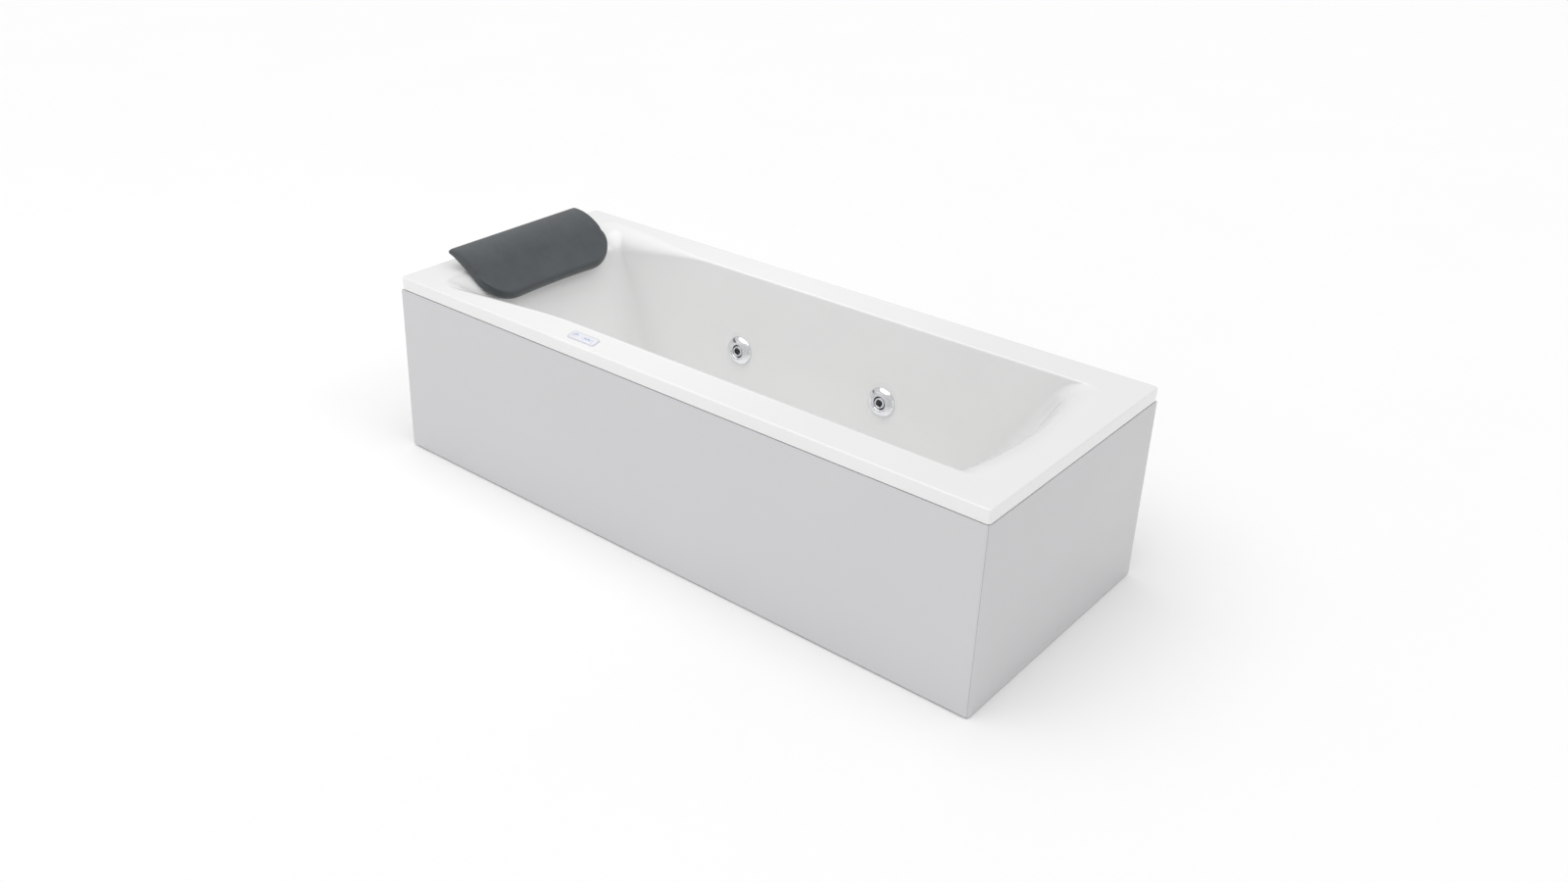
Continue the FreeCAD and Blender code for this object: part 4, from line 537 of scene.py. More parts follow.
def make_finishes(colours):
    """Every finish by the record's slot name."""
    return {
        "acrylic": acrylic_finish(colours.acrylic),
        "panel": panel_finish(colours.panel),
        "cushion": cushion_finish(colours.cushion),
        "peg": plastic("peg_moulding", (0.12, 0.12, 0.13), 0.45),
        "zinc": metal("zinc_plate", (0.66, 0.68, 0.70), 0.34, 0.12),
        "frame_paint": plastic("powder_coat", (0.56, 0.57, 0.58), 0.52, 1500, 0.00006),
        "board": chipboard_finish("sealed_chipboard", (0.50, 0.36, 0.22), 260),
        "plywood": plywood_finish((0.58, 0.42, 0.25)),
        "foot_plastic": plastic("black_foot", (0.030, 0.030, 0.032), 0.55, 700, 0.00005),
        "jet_white": plastic("white_moulding", (0.82, 0.82, 0.82), 0.28, 500, 0.00001),
        "jet_face": chrome_finish("jet_face_chrome", colours.chrome, 0.14),
        "jet_nozzle": chrome_finish("nozzle_chrome", (0.78, 0.79, 0.81), 0.09),
        "pipe_white": plastic("rigid_pipe", (0.74, 0.74, 0.73), 0.36, 380, 0.00003),
        "hose": hose_finish((0.66, 0.70, 0.71)),
        "pump_black": plastic("glass_filled_black", (0.032, 0.032, 0.035), 0.46, 1100, 0.00005),
        "impeller": plastic("natural_moulding", (0.72, 0.68, 0.58), 0.42),
        "motor_casting": casting_finish((0.50, 0.51, 0.52)),
        "steel": metal("ground_steel", (0.56, 0.56, 0.57), 0.26),
        "winding": winding_finish((0.55, 0.25, 0.10)),
        "fan_cover": plastic("painted_cover", (0.045, 0.045, 0.05), 0.40, 1300, 0.00004),
        "drain_chrome": chrome_finish("drain_chrome", colours.chrome, 0.10),
        "cable": plastic("cable_jacket", (0.028, 0.028, 0.030), 0.50, 500, 0.00006),
        "keypad": plastic("keypad_plate", (0.80, 0.81, 0.86), 0.22, 900, 0.000004),
        "keypad_button": plastic("keypad_button", (0.72, 0.75, 0.82), 0.30, 900, 0.000008),
        "box_grey": plastic("grey_box", (0.46, 0.47, 0.48), 0.50, 700, 0.00006),
        "mark": plastic("printed_mark", colours.mark, 0.40, 900, 0.000004),
        "lamp": plastic("lamp_lens", (0.80, 0.10, 0.06), 0.25, 900, 0.000004),
        "outline": plastic("keypad_outline", (0.36, 0.37, 0.42), 0.35, 900, 0.000004),
    }


FINISHES = {}


# ------------------------------------------------------------------ basin
CORNER_STEPS = 14
BOW_STEPS = 30
SIDE_STEPS = 44
INNER_LEVELS = (18, 16, 12)     # steps over the roll, down the wall and round into the floor
OUTER_LEVELS = (6, 8, 5)
FLOOR_SHARES = (0.94, 0.5)      # rings that the floor is drawn in to
EDGE_STEPS = 6
EDGE_SUPPORT = 0.0015           # rings beside a rounded edge, to keep the deck flat
SKIRT_NOSE = 0.001              # chamfer of the skirt's lower edge
LEAST_CORNER = 0.002
HOLE_REACH = 0.02               # cutters' reach to each side of the skin
KEYPAD_SLOT = (0.0703, 0.0223, 0.04)


def end_run(depth, roll, slope):
    """How far an end wall has come in at a depth: an arc off the deck, then a straight slope."""
    knee = roll * (1 - math.cos(slope))
    if depth <= knee:
        return math.sqrt(max(0.0, 2 * roll * depth - depth * depth))
    return roll * math.sin(slope) + (depth - knee) / math.tan(slope)


def side_y(tub, depth):
    """Half of the basin's width at a depth."""
    return RIM_HIGH.y - tub.side_deck - depth * math.tan(tub.side_lean)


def head_x(tub, depth):
    """The backrest on the centre line at a depth."""
    return RIM_LOW.x + tub.head_deck + end_run(depth, tub.head_roll, tub.head_slope)


def foot_x(tub, depth):
    """The foot slope on the centre line at a depth."""
    return RIM_HIGH.x - tub.foot_deck - end_run(depth, tub.foot_roll, tub.foot_slope)


def end_centres(apex, bow, half, corner, toward):
    """Centre of an end's bow, centre of its corners and the angle where they meet."""
    bow_x = apex - toward * bow
    corner_y = half - corner
    corner_x = bow_x + toward * math.sqrt((bow - corner) ** 2 - corner_y ** 2)
    return bow_x, corner_x, corner_y, math.atan2(corner_y, abs(corner_x - bow_x))


def end_points(apex, bow, half, corner, toward):
    """One basin end: corner, bow, corner."""
    bow_x, corner_x, corner_y, meet = end_centres(apex, bow, half, corner, toward)
    facing = 0.0 if toward > 0 else math.pi
    offset = toward * corner_y
    points = arc_points(corner_x, -offset, corner, facing - SQUARE, facing - meet, CORNER_STEPS)
    points += arc_points(bow_x, 0, bow, facing - meet, facing + meet, BOW_STEPS)
    points += arc_points(corner_x, offset, corner, facing + meet, facing + SQUARE, CORNER_STEPS)
    return points, corner_x


def corner_radius(tub, depth):
    """Basin corner radius at a depth."""
    return tub.corner_at_deck + (tub.corner_at_floor - tub.corner_at_deck) * depth / tub.basin_depth


def set_back(rounding, depth):
    """How far a rounded edge stands back from its wall at a depth."""
    if depth >= rounding:
        return 0.0
    return rounding - math.sqrt(2 * rounding * depth - depth * depth)


def smooth_step(share):
    """An even rise from 0 to 1."""
    held = min(1.0, max(0.0, share))
    return held * held * (3 - 2 * held)


def flared(tub, ring, depth, half):
    """Moves a level outline's long sides out to the rounding that widens towards the head end."""
    moved = []
    for x, y in ring:
        widened = smooth_step((tub.flare_start - x) / (tub.flare_start - tub.flare_end))
        if widened:
            wide = tub.inner_edge + (tub.head_flare - tub.inner_edge) * widened
            extra = set_back(wide, depth) - set_back(tub.inner_edge, depth)
            extra *= smooth_step((abs(y) - tub.flare_side) / (half - tub.flare_side))
            y += math.copysign(extra, y)
        moved.append((x, y))
    return moved


def basin_ring(tub, depth, inset=0.0, grow=0.0, lip=0.0):
    """The basin's level outline; grow widens it all round and lip its long sides alone."""
    spread = grow - inset
    half = side_y(tub, depth) + spread + lip
    corner = corner_radius(tub, depth) + spread
    foot_apex = foot_x(tub, depth) + spread
    head_apex = head_x(tub, depth) - spread
    foot, foot_corner = end_points(foot_apex, tub.foot_bow + spread, half, corner, 1)
    head, head_corner = end_points(head_apex, tub.head_bow + spread, half, corner, -1)
    rear = line_points((foot_corner, half), (head_corner, half), SIDE_STEPS)
    front = line_points((head_corner, -half), (foot_corner, -half), SIDE_STEPS)
    return flared(tub, foot + rear + head + front, depth, half)


def rim_ring(tub, inset):
    """The rim's rounded rectangle, with as many points as the basin's outline."""
    hx = RIM_HIGH.x - inset
    hy = RIM_HIGH.y - inset
    r = max(tub.rim_corner - inset, LEAST_CORNER)
    points = []
    for toward in (1, -1):
        facing = 0.0 if toward > 0 else math.pi
        x = toward * (hx - r)
        y = toward * (hy - r)
        points += arc_points(x, -y, r, facing - SQUARE, facing, CORNER_STEPS)
        points += line_points((toward * hx, -y), (toward * hx, y), BOW_STEPS)
        points += arc_points(x, y, r, facing, facing + SQUARE, CORNER_STEPS)
        points += line_points((x, toward * hy), (-x, toward * hy), SIDE_STEPS)
    return points


def basin_levels(tub, roll_steps, wall_steps, round_steps):
    """(depth, inset) pairs from the deck down to the floor."""
    roll_end = tub.head_roll * (1 - math.cos(tub.head_slope))
    round_start = tub.basin_depth - tub.floor_round
    levels = [(roll_end * (k / roll_steps) ** 2, 0.0) for k in range(roll_steps + 1)]
    straight = round_start - roll_end
    levels += [(roll_end + straight * k / wall_steps, 0.0) for k in range(1, wall_steps + 1)]
    for k in range(1, round_steps + 1):
        turn = SQUARE * k / round_steps
        inset = tub.floor_round * (1 - math.cos(turn))
        levels.append((round_start + tub.floor_round * math.sin(turn), inset))
    return levels


def drawn_in(ring, share):
    """A floor outline drawn in towards its middle."""
    middle = sum(ring, Vector()) / len(ring)
    return [middle + (p - middle) * share for p in ring]


def basin_skin(tub, grow, levels, rounded):
    """Rings of the basin's inner or outer skin from the deck to the middle of the floor."""
    rings = []
    for depth, inset in levels:
        lip = set_back(tub.inner_edge, depth) if rounded else 0.0
        rings.append(in_place(basin_ring(tub, depth, inset, grow, lip), DECK - depth - grow))
    return rings + [drawn_in(rings[-1], share) for share in FLOOR_SHARES]


def shell_rings(tub):
    """The whole shell as rings: basin floor, up to the deck, over the rim and back underneath."""
    skirt_bottom = DECK - tub.skirt_height
    skirt_outside = tub.skirt_draft
    skirt_inside = tub.skirt_draft + tub.wall
    inner = basin_skin(tub, 0.0, basin_levels(tub, *INNER_LEVELS), True)
    rings = list(reversed(inner))
    rings.append(in_place(basin_ring(tub, 0.0, 0.0, EDGE_SUPPORT, tub.inner_edge), DECK))
    levels = [(tub.rim_edge + EDGE_SUPPORT, DECK)]
    for k in range(EDGE_STEPS + 1):
        turn = SQUARE * k / EDGE_STEPS
        levels.append((tub.rim_edge * (1 - math.sin(turn)), DECK - tub.rim_edge * (1 - math.cos(turn))))
    levels += [(skirt_outside, skirt_bottom + SKIRT_NOSE), (skirt_outside + SKIRT_NOSE, skirt_bottom),
               (skirt_inside - SKIRT_NOSE, skirt_bottom), (skirt_inside, skirt_bottom + SKIRT_NOSE),
               (tub.wall, DECK - tub.wall)]
    rings += [in_place(rim_ring(tub, inset), z) for inset, z in levels]
    return rings + basin_skin(tub, tub.wall, basin_levels(tub, *OUTER_LEVELS), False)


def jet_frame(side, toward):
    """Origin, inward normal and level direction of a jet; side is +1 at the wall side."""
    tub = bpy.context.scene.bathtub_shell
    fittings = bpy.context.scene.bathtub_fittings
    return wall_frame(tub, toward * fittings.jet_reach, fittings.jet_depth, side)


def wall_frame(tub, x, depth, side):
    """Origin, inward normal and level direction on a long wall."""
    origin = Vector((x, side * side_y(tub, depth), DECK - depth))
    normal = Vector((0, -side * math.cos(tub.side_lean), math.sin(tub.side_lean)))
    return origin, normal, Vector((side, 0, 0))


def foot_frame(tub, depth):
    """Origin, inward normal and level direction on the foot slope's centre line."""
    origin = Vector((foot_x(tub, depth), 0, DECK - depth))
    return origin, Vector((-math.sin(tub.foot_slope), 0, math.cos(tub.foot_slope))), Vector((0, 1, 0))


def shell_holes(tub, fittings):
    """Cutters for every hole in the shell."""
    bm = bmesh.new()
    holes = []
    for side in (1, -1):
        for toward in (1, -1):
            holes.append((fittings.jet_hole, standing_frame(*jet_frame(side, toward)), 48))
        peg = Matrix.Translation((fittings.peg_x, side * fittings.peg_offset, DECK))
        holes.append((fittings.peg_hole, peg, 32))
    suction = wall_frame(tub, fittings.suction_x, fittings.suction_depth, -1)
    holes.append((fittings.suction_hole, standing_frame(*suction), 48))
    overflow = foot_frame(tub, fittings.overflow_depth)
    holes.append((fittings.overflow_hole, standing_frame(*overflow), 48))
    floor = Matrix.Translation((fittings.drain_x, 0, DECK - tub.basin_depth))
    holes.append((fittings.drain_hole, floor, 48))
    for radius, place, segments in holes:
        cylinder(bm, radius, -HOLE_REACH, HOLE_REACH, place, segments)
    low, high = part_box("keypad_plate")
    middle = (low + high) / 2
    slot = Matrix.Translation((middle.x, middle.y, DECK)) @ Matrix.Diagonal((*KEYPAD_SLOT, 1))
    bmesh.ops.create_cube(bm, size=1, matrix=slot)
    return bm


class BATHTUB_OT_shell(Operator):
    """Acrylic shell: deck, skirt and basin in one, with its holes"""
    bl_idname = "bathtub.add_shell"
    bl_label = "Shell"

    def execute(self, context):
        tub = context.scene.bathtub_shell
        bm = loft(shell_rings(tub))
        bm = cut_holes(context, bm, shell_holes(tub, context.scene.bathtub_fittings))
        add_piece(context, "acrylic_shell", bm, "root", FINISHES["acrylic"], ["shell"])
        return {"FINISHED"}


# ------------------------------------------------------------------ head cushion
WAVE_STEPS = 14                 # over each half of the wave, above and below
TOE_STEPS = 8
BACK_STEPS = 6
SIDE_LIFT = 0.8                 # how much of the side's fall the underside comes up by
BACK_LEAN = 0.001
ROUND_ROWS = 6                  # sections over the rounding, over the toe's corners and between
CORNER_ROWS = 8
MIDDLE_ROWS = 12
SEAT_TRIES = 30
FREE_HEIGHT = 0.002             # points above the deck by this much are smoothed


def head_edge_x(tub, depth, y, grow):
    """Where the head end's outline lies at a depth and a distance from the centre line."""
    half = side_y(tub, depth) + grow
    corner = corner_radius(tub, depth) + grow
    bow = tub.head_bow + grow
    bow_x, corner_x, corner_y, meet = end_centres(head_x(tub, depth) - grow, bow, half, corner, -1)
    if abs(y) <= bow * math.sin(meet):
        return bow_x - math.sqrt(bow ** 2 - y ** 2)
    return corner_x - math.sqrt(max(0.0, corner ** 2 - (abs(y) - corner_y) ** 2))


def seat_height(tub, x, y, gap):
    """Height of the surface that carries the cushion, with a gap over it."""
    low, high = 0.0, tub.basin_depth / 2
    if head_edge_x(tub, low, y, -gap) >= x:
        return DECK + gap
    for _ in range(SEAT_TRIES):
        middle = (low + high) / 2
        if head_edge_x(tub, middle, y, -gap) < x:
            low = middle
        else:
            high = middle
    return DECK - low + gap


def curve_through(start, middle, end, count):
    """Points of a smooth curve through three points, its last one left out."""
    control = middle * 2 - (start + end) / 2
    shares = [k / count for k in range(count)]
    return [start * (1 - t) ** 2 + control * (2 * t * (1 - t)) + end * t ** 2 for t in shares]


def round_off(from_edge, reach):
    """How much of a rounding is lost near its edge: 1 at the edge, 0 from its reach inwards."""
    share = max(0.0, 1 - from_edge / reach)
    return 1 - math.sqrt(max(0.0, 1 - share * share))


def cushion_section(tub, pad, y):
    """The cushion's closed side profile at a distance from the centre line, as (x, z) points."""
    from_side = pad.half - abs(y)
    rounding = round_off(from_side, pad.side_round)
    thinned = round_off(from_side, pad.side_reach)
    bulk = pad.bulk - (pad.bulk - pad.side_bulk) * thinned
    toe_bulk = pad.toe_bulk - (pad.toe_bulk - pad.side_bulk) * thinned
    fall = pad.side_fall * rounding
    pull = pad.toe_round * round_off(from_side, pad.toe_round) + pad.toe_hollow * (1 - (y / pad.half) ** 2)
    back = Vector((pad.back, DECK + pad.back_rise - fall))
    bend = Vector((pad.bend, DECK + pad.bend_rise - fall))
    full_toe = Vector((pad.toe, DECK - pad.toe_drop - fall))
    upper = (bend - back).normalized()
    lower = (full_toe - bend).normalized()
    upper_out = Vector((-upper.y, upper.x))
    lower_out = Vector((-lower.y, lower.x))
    toe = full_toe - lower * pull
    under_toe = toe - lower_out * toe_bulk
    under_bend = bend - upper_out * bulk
    under_back = back + Vector((BACK_LEAN, fall - pad.edge))
    toe_mid = (toe + under_toe) / 2 + lower * (toe_bulk / 4)
    back_mid = (back + under_back) / 2 - Vector((pad.edge / 3, 0))
    points = curve_through(back, (back + bend) / 2 + upper_out * pad.crest, bend, WAVE_STEPS)
    points += curve_through(bend, (bend + toe) / 2 - lower_out * pad.hollow, toe, WAVE_STEPS)
    points += curve_through(toe, toe_mid, under_toe, TOE_STEPS)
    lift = Vector((0, pad.side_fall * SIDE_LIFT * rounding))
    for a, b in ((under_toe, under_bend), (under_bend, under_back)):
        points += [a + (b - a) * (k / WAVE_STEPS) + lift for k in range(WAVE_STEPS)]
    points += curve_through(under_back, back_mid, back, BACK_STEPS)
    return [Vector((p.x, max(p.y, seat_height(tub, p.x, y, pad.gap)))) for p in points]


def cushion_rows(pad):
    """Places of the cushion's sections, close together where its sides round off."""
    turns = [SQUARE * k / ROUND_ROWS for k in range(ROUND_ROWS + 1)]
    edge = [pad.half - pad.side_round * (1 - math.cos(turn)) for turn in turns]
    reach = pad.toe_round - pad.side_round
    corner = [pad.half - pad.side_round - reach * k / CORNER_ROWS for k in range(1, CORNER_ROWS + 1)]
    inner = pad.half - pad.toe_round
    middle = [inner * (1 - k / MIDDLE_ROWS) for k in range(1, MIDDLE_ROWS + 1)]
    rear = edge + corner + middle
    return [-y for y in rear] + list(reversed(rear[:-1]))


class BATHTUB_OT_cushion(Operator):
    """Head cushion: waved moulded pad with a lifted upper edge"""
    bl_idname = "bathtub.add_cushion"
    bl_label = "Head cushion"

    def execute(self, context):
        tub = context.scene.bathtub_shell
        pad = context.scene.bathtub_cushion
        rings = []
        for y in cushion_rows(pad):
            rings.append([Vector((p.x, y, p.y)) for p in cushion_section(tub, pad, y)])
        bm = loft(rings)
        free = [v for v in bm.verts if v.co.z > DECK + FREE_HEIGHT]
        bmesh.ops.smooth_vert(bm, verts=free, factor=0.5, use_axis_x=True, use_axis_y=True, use_axis_z=True)
        piece = add_piece(context, "cushion_skin", bm, "cushion", FINISHES["cushion"],
                          ["head_cushion"], CUSHION_SMOOTH_LIMIT)
        soft = piece.modifiers.new("Softness", "SUBSURF")
        soft.levels = 1
        soft.render_levels = 1
        return {"FINISHED"}


# ------------------------------------------------------------------ jets
JETS = {"rear_head": (1, -1), "rear_foot": (1, 1), "front_head": (-1, -1), "front_foot": (-1, 1)}


def jet_face_mesh():
    """Domed flange with a stepped bezel round the ball."""
    profile = rounded_profile([
        (0.0330, 0.0023, 0), (0.0330, 0.0006, 0.0002), (0.0375, 0.0006, 0.0004), (0.0375, 0.0022, 0.0008),
        (0.0355, 0.0052, 0.003), (0.0290, 0.0098, 0.006), (0.0226, 0.0122, 0.002), (0.0210, 0.0118, 0.0004),
        (0.0208, 0.0102, 0.0002), (0.0198, 0.0102, 0.0002), (0.0196, 0.0114, 0.0003),
        (0.0180, 0.0116, 0.0006), (0.0168, 0.0100, 0.0008), (0.0162, 0.0070, 0.0004),
        (0.0156, 0.0040, 0.0004), (0.0148, -0.0030, 0.001), (0.0112, -0.0080, 0.001),
        (0.0110, -0.0158, 0.0002), (0.0184, -0.0158, 0.0002), (0.0184, 0.0021, 0.0002),
        (0.0330, 0.0023, 0)], 4)
    return spun(profile)


def jet_face_cuts():
    """Cutters for the pry slot and the bezel's grip notches."""
    bm = bmesh.new()
    slot = Matrix.Translation((0.0345, 0, 0.0062)) @ Matrix.Rotation(math.radians(48), 4, "Y")
    ball(bm, slot, 0.0013, 0.0026, 0.0024, 24, 14)
    for k in range(3):
        turn = Matrix.Rotation(math.radians(60 + 120 * k), 4, "Z")
        ball(bm, turn @ Matrix.Translation((0.0203, 0, 0.0122)), 0.0021, 0.0015, 0.0018)
    return bm


def jet_nozzle_mesh():
    """Ball with a flat front, a lipped bore and a stepped throat."""
    radius = 0.015
    centre = 0.003
    sweep = [math.radians(d) for d in range(-38, 33, 5)]
    outer = [(radius * math.cos(t), centre + radius * math.sin(t)) for t in sweep]
    front = rounded_profile([
        (outer[-1][0], outer[-1][1], 0), (0.0118, 0.0110, 0.0004), (0.0114, 0.0104, 0.0002),
        (0.0106, 0.0104, 0.0003), (0.0100, 0.0109, 0.0005), (0.0092, 0.0105, 0.0006),
        (0.0090, 0.0060, 0.0003), (0.0090, outer[0][1], 0)], 4)
    profile = [Vector(p) for p in outer[:-1]] + front + [Vector(outer[0])]
    return spun(profile, 80)


class BATHTUB_OT_jets(Operator):
    """Four jets: domed chrome faces, ball nozzles and their housings"""
    bl_idname = "bathtub.add_jets"
    bl_label = "Jets"

    def execute(self, context):
        face = cut_holes(context, jet_face_mesh(), jet_face_cuts())
        nozzle = jet_nozzle_mesh()
        for name, (side, toward) in JETS.items():
            place = standing_frame(*jet_frame(side, toward))
            for source, part in ((face, "face_"), (nozzle, "nozzle_")):
                bm = source.copy()
                bmesh.ops.transform(bm, matrix=place, verts=bm.verts)
                slot = "jet_" + part[:-1]
                add_piece(context, "jet_" + part + "cover_" + name, bm, part + name, FINISHES[slot],
                          ["jet_" + part + name])
            soften(context, "jet_body_" + name, 0.0006)
        face.free()
        nozzle.free()
        soften(context, "jet_nuts", 0.0006)
        return {"FINISHED"}


# ------------------------------------------------------------------ fittings in the basin
def grille_mesh():
    """Domed suction grille with rings of holes and a turned groove at its edge."""
    profile = rounded_profile([
        (0.0, 0.0024, 0), (0.0456, 0.0024, 0.0002), (0.0456, 0.0007, 0.0002), (0.0500, 0.0007, 0.0004),
        (0.0500, 0.0030, 0.0010), (0.0462, 0.0059, 0.0006), (0.0456, 0.0056, 0.0003),
        (0.0450, 0.0066, 0.0006), (0.0320, 0.0108, 0.0100), (0.0, 0.0109, 0)])
    return spun(profile)


def grille_holes():
    """Cutters for the suction grille's rings of holes."""
    bm = bmesh.new()
    for reach, count in ((0.014, 8), (0.022, 12), (0.030, 16)):
        for k in range(count):
            place = Matrix.Rotation(2 * math.pi * k / count, 4, "Z") @ Matrix.Translation((reach, 0, 0))
            cylinder(bm, 0.0024, -0.001, 0.014, place, 20)
    return bm


def drain_flange_mesh(floor):
    """Chromed waste flange with a rolled edge, sunk seat and threaded tail."""
    profile = rounded_profile([
        (0.0222, floor - 0.0158, 0), (0.0258, floor - 0.0158, 0.0006), (0.0258, floor + 0.0004, 0.0002),
        (0.0350, floor + 0.0004, 0.0004), (0.0348, floor + 0.0016, 0.0010), (0.0330, floor + 0.0019, 0.0008),
        (0.0262, floor + 0.0017, 0.0010), (0.0252, floor + 0.0005, 0.0006), (0.0222, floor + 0.0002, 0.0004),
        (0.0222, floor - 0.0158, 0)])
    return spun(profile)


def drain_plug_mesh(top, bottom):
    """Domed pop-up plug with a dished middle and its stem."""
    profile = rounded_profile([
        (0.0, bottom, 0), (0.0040, bottom, 0.0008), (0.0040, top - 0.0052, 0.0004),
        (0.0298, top - 0.0049, 0.0004), (0.0299, top - 0.0038, 0.0008), (0.0262, top - 0.0013, 0.0040),
        (0.0150, top, 0.0040), (0.0, top - 0.0006, 0)])
    return spun(profile)


def overflow_knob_mesh():
    """Turned overflow knob with a rolled edge and its stem."""
    profile = rounded_profile([
        (0.0, -0.0365, 0), (0.0050, -0.0365, 0.0008), (0.0050, 0.0061, 0.0004), (0.0311, 0.0061, 0.0004),
        (0.0311, 0.0013, 0.0003), (0.0349, 0.0013, 0.0005), (0.0349, 0.0070, 0.0016),
        (0.0322, 0.0091, 0.0020), (0.0, 0.0091, 0)])
    return spun(profile)


def overflow_knob_cuts():
    """Cutters for the knob's rim slots and finger dimple."""
    bm = bmesh.new()
    for k in range(3):
        turn = Matrix.Rotation(2 * math.pi * k / 3, 4, "Z")
        slot = turn @ Matrix.Translation((0.0340, 0, 0.0029)) @ Matrix.Diagonal((0.012, 0.018, 0.0042, 1))
        bmesh.ops.create_cube(bm, size=1, matrix=slot)
    ball(bm, Matrix.Translation((0.023, 0, 0.0157)), 0.009, 0.009, 0.009, 32, 20)
    return bm


class BATHTUB_OT_fittings(Operator):
    """Suction grille, waste flange, pop-up plug and overflow knob"""
    bl_idname = "bathtub.add_fittings"
    bl_label = "Basin fittings"

    def execute(self, context):
        tub = context.scene.bathtub_shell
        places = context.scene.bathtub_fittings
        suction = standing_frame(*wall_frame(tub, places.suction_x, places.suction_depth, -1))
        overflow = standing_frame(*foot_frame(tub, places.overflow_depth))
        drain = Matrix.Translation((places.drain_x, 0, 0))
        floor = DECK - tub.basin_depth
        plug_low, plug_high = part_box("drain_plug")
        grille = cut_holes(context, grille_mesh(), grille_holes())
        knob = cut_holes(context, overflow_knob_mesh(), overflow_knob_cuts())
        made = (("suction_grille", grille, suction), ("overflow_knob", knob, overflow),
                ("drain_flange", drain_flange_mesh(floor), drain),
                ("drain_plug", drain_plug_mesh(plug_high.z, plug_low.z), drain))
        for node, bm, place in made:
            bmesh.ops.transform(bm, matrix=place, verts=bm.verts)
            slot = subpart_slot(node)
            add_piece(context, node + "_turned", bm, body_of(node), FINISHES[slot], [node])
        return {"FINISHED"}


# ------------------------------------------------------------------ keypad
KEYPAD_LENGTH = 0.084
KEYPAD_WIDTH = 0.036
KEYPAD_CORNER = 0.007
KEYPAD_SKEW = 0.009
MARK_RADIUS = 0.0052            # arc on the round button
WAVE_LENGTH = 0.021             # wave on the bar button
WAVE_RISE = 0.0011
STRIP_SIDES = 10


def strip(path, half_width, half_height):
    """A low rounded bar along a level path."""
    turns = [2 * math.pi * k / STRIP_SIDES for k in range(STRIP_SIDES)]
    rings = []
    for number, here in enumerate(path):
        ahead = path[min(number + 1, len(path) - 1)] - path[max(number - 1, 0)]
        across = Vector((-ahead.y, ahead.x, 0)).normalized() * half_width
        rings.append([here + across * math.cos(t) + Vector((0, 0, half_height * math.sin(t))) for t in turns])
    return loft(rings)


def keypad_edge(middle, inset):
    """The keypad's skewed, rounded outline."""
    long = KEYPAD_LENGTH / 2 - inset
    wide = KEYPAD_WIDTH / 2 - inset
    corner = KEYPAD_CORNER - inset
    points = []
    for number, (sx, sy) in enumerate(((1, 1), (-1, 1), (-1, -1), (1, -1))):
        start = SQUARE * number
        points += arc_points(sx * (long - corner), sy * (wide - corner), corner, start, start + SQUARE, 8)
    skewed = [(x - KEYPAD_SKEW * y / KEYPAD_WIDTH, y) for x, y in points]
    return [Vector((middle.x + x, middle.y + y, middle.z)) for x, y in skewed + skewed[:1]]


class BATHTUB_OT_keypad(Operator):
    """Keypad: softened plate, its printed outline, two buttons and their marks"""
    bl_idname = "bathtub.add_keypad"
    bl_label = "Keypad"

    def execute(self, context):
        for node, width in (("keypad_plate", 0.0005), ("keypad_button_round", 0.0004),
                            ("keypad_button_bar", 0.0004)):
            soften(context, node, width, 3)
        plate = top_middle(*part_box("keypad_plate"))
        outline = strip(keypad_edge(plate, 0.0012), 0.0006, 0.0002)
        add_piece(context, "keypad_outline", outline, "root", FINISHES["outline"])
        spot = bmesh.new()
        ball(spot, Matrix.Translation(plate + Vector((0.0335, -0.0100, 0))), 0.0014, 0.0014, 0.0002)
        add_piece(context, "keypad_dot", spot, "root", FINISHES["outline"])

        button = top_middle(*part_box("keypad_button_round"))
        sweep = arc_points(button.x, button.y, MARK_RADIUS, math.radians(15), math.radians(185), 18)
        arc = strip(in_place(sweep, button.z), 0.0010, 0.00015)
        add_piece(context, "round_button_mark", arc, "round_button", FINISHES["mark"])
        lamp = bmesh.new()
        ball(lamp, Matrix.Translation(button + Vector((-0.0052, -0.0024, 0))), 0.0012, 0.0012, 0.0003)
        add_piece(context, "round_button_lamp", lamp, "round_button", FINISHES["lamp"])

        bar = top_middle(*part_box("keypad_button_bar"))
        path = []
        for k in range(33):
            share = k / 32 - 0.5
            rise = WAVE_RISE * math.sin(4 * math.pi * share)
            path.append(bar + Vector((WAVE_LENGTH * share, rise, 0)))
        wave = strip(path, 0.0011, 0.00015)
        add_piece(context, "bar_button_mark", wave, "bar_button", FINISHES["mark"])
        return {"FINISHED"}


# ------------------------------------------------------------------ pieces that keep their CAD form
PANEL_EDGE = 0.0009
SAME_HEIGHT = 1e-5
SHARP_ANGLE = 1.0


def subpart_slot(node):
    """The record's slot of a node."""
    for entry in frame["record"]["subparts"]:
        if entry["node"] == node:
            return entry["material_slot"]
    raise ValueError("the record has no subpart named " + node)


def body_of(node):
    """The body that a node rides on."""
    return frame["nodes"][node]["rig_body"]


def soften(context, node, width, segments=2):
    """Stands a copy of a CAD node, with rounded edges and its finish, for the node."""
    slot = subpart_slot(node)
    piece = add_piece(context, node + "_finished", node_copy(node), body_of(node), FINISHES[slot],
                      [node])
    add_bevel(piece, width, segments)


def dress(node):
    """Gives a CAD node its finish."""
    slot = subpart_slot(node)
    thing = frame["nodes"][node]
    thing.data.materials.clear()
    thing.data.materials.append(FINISHES[slot])


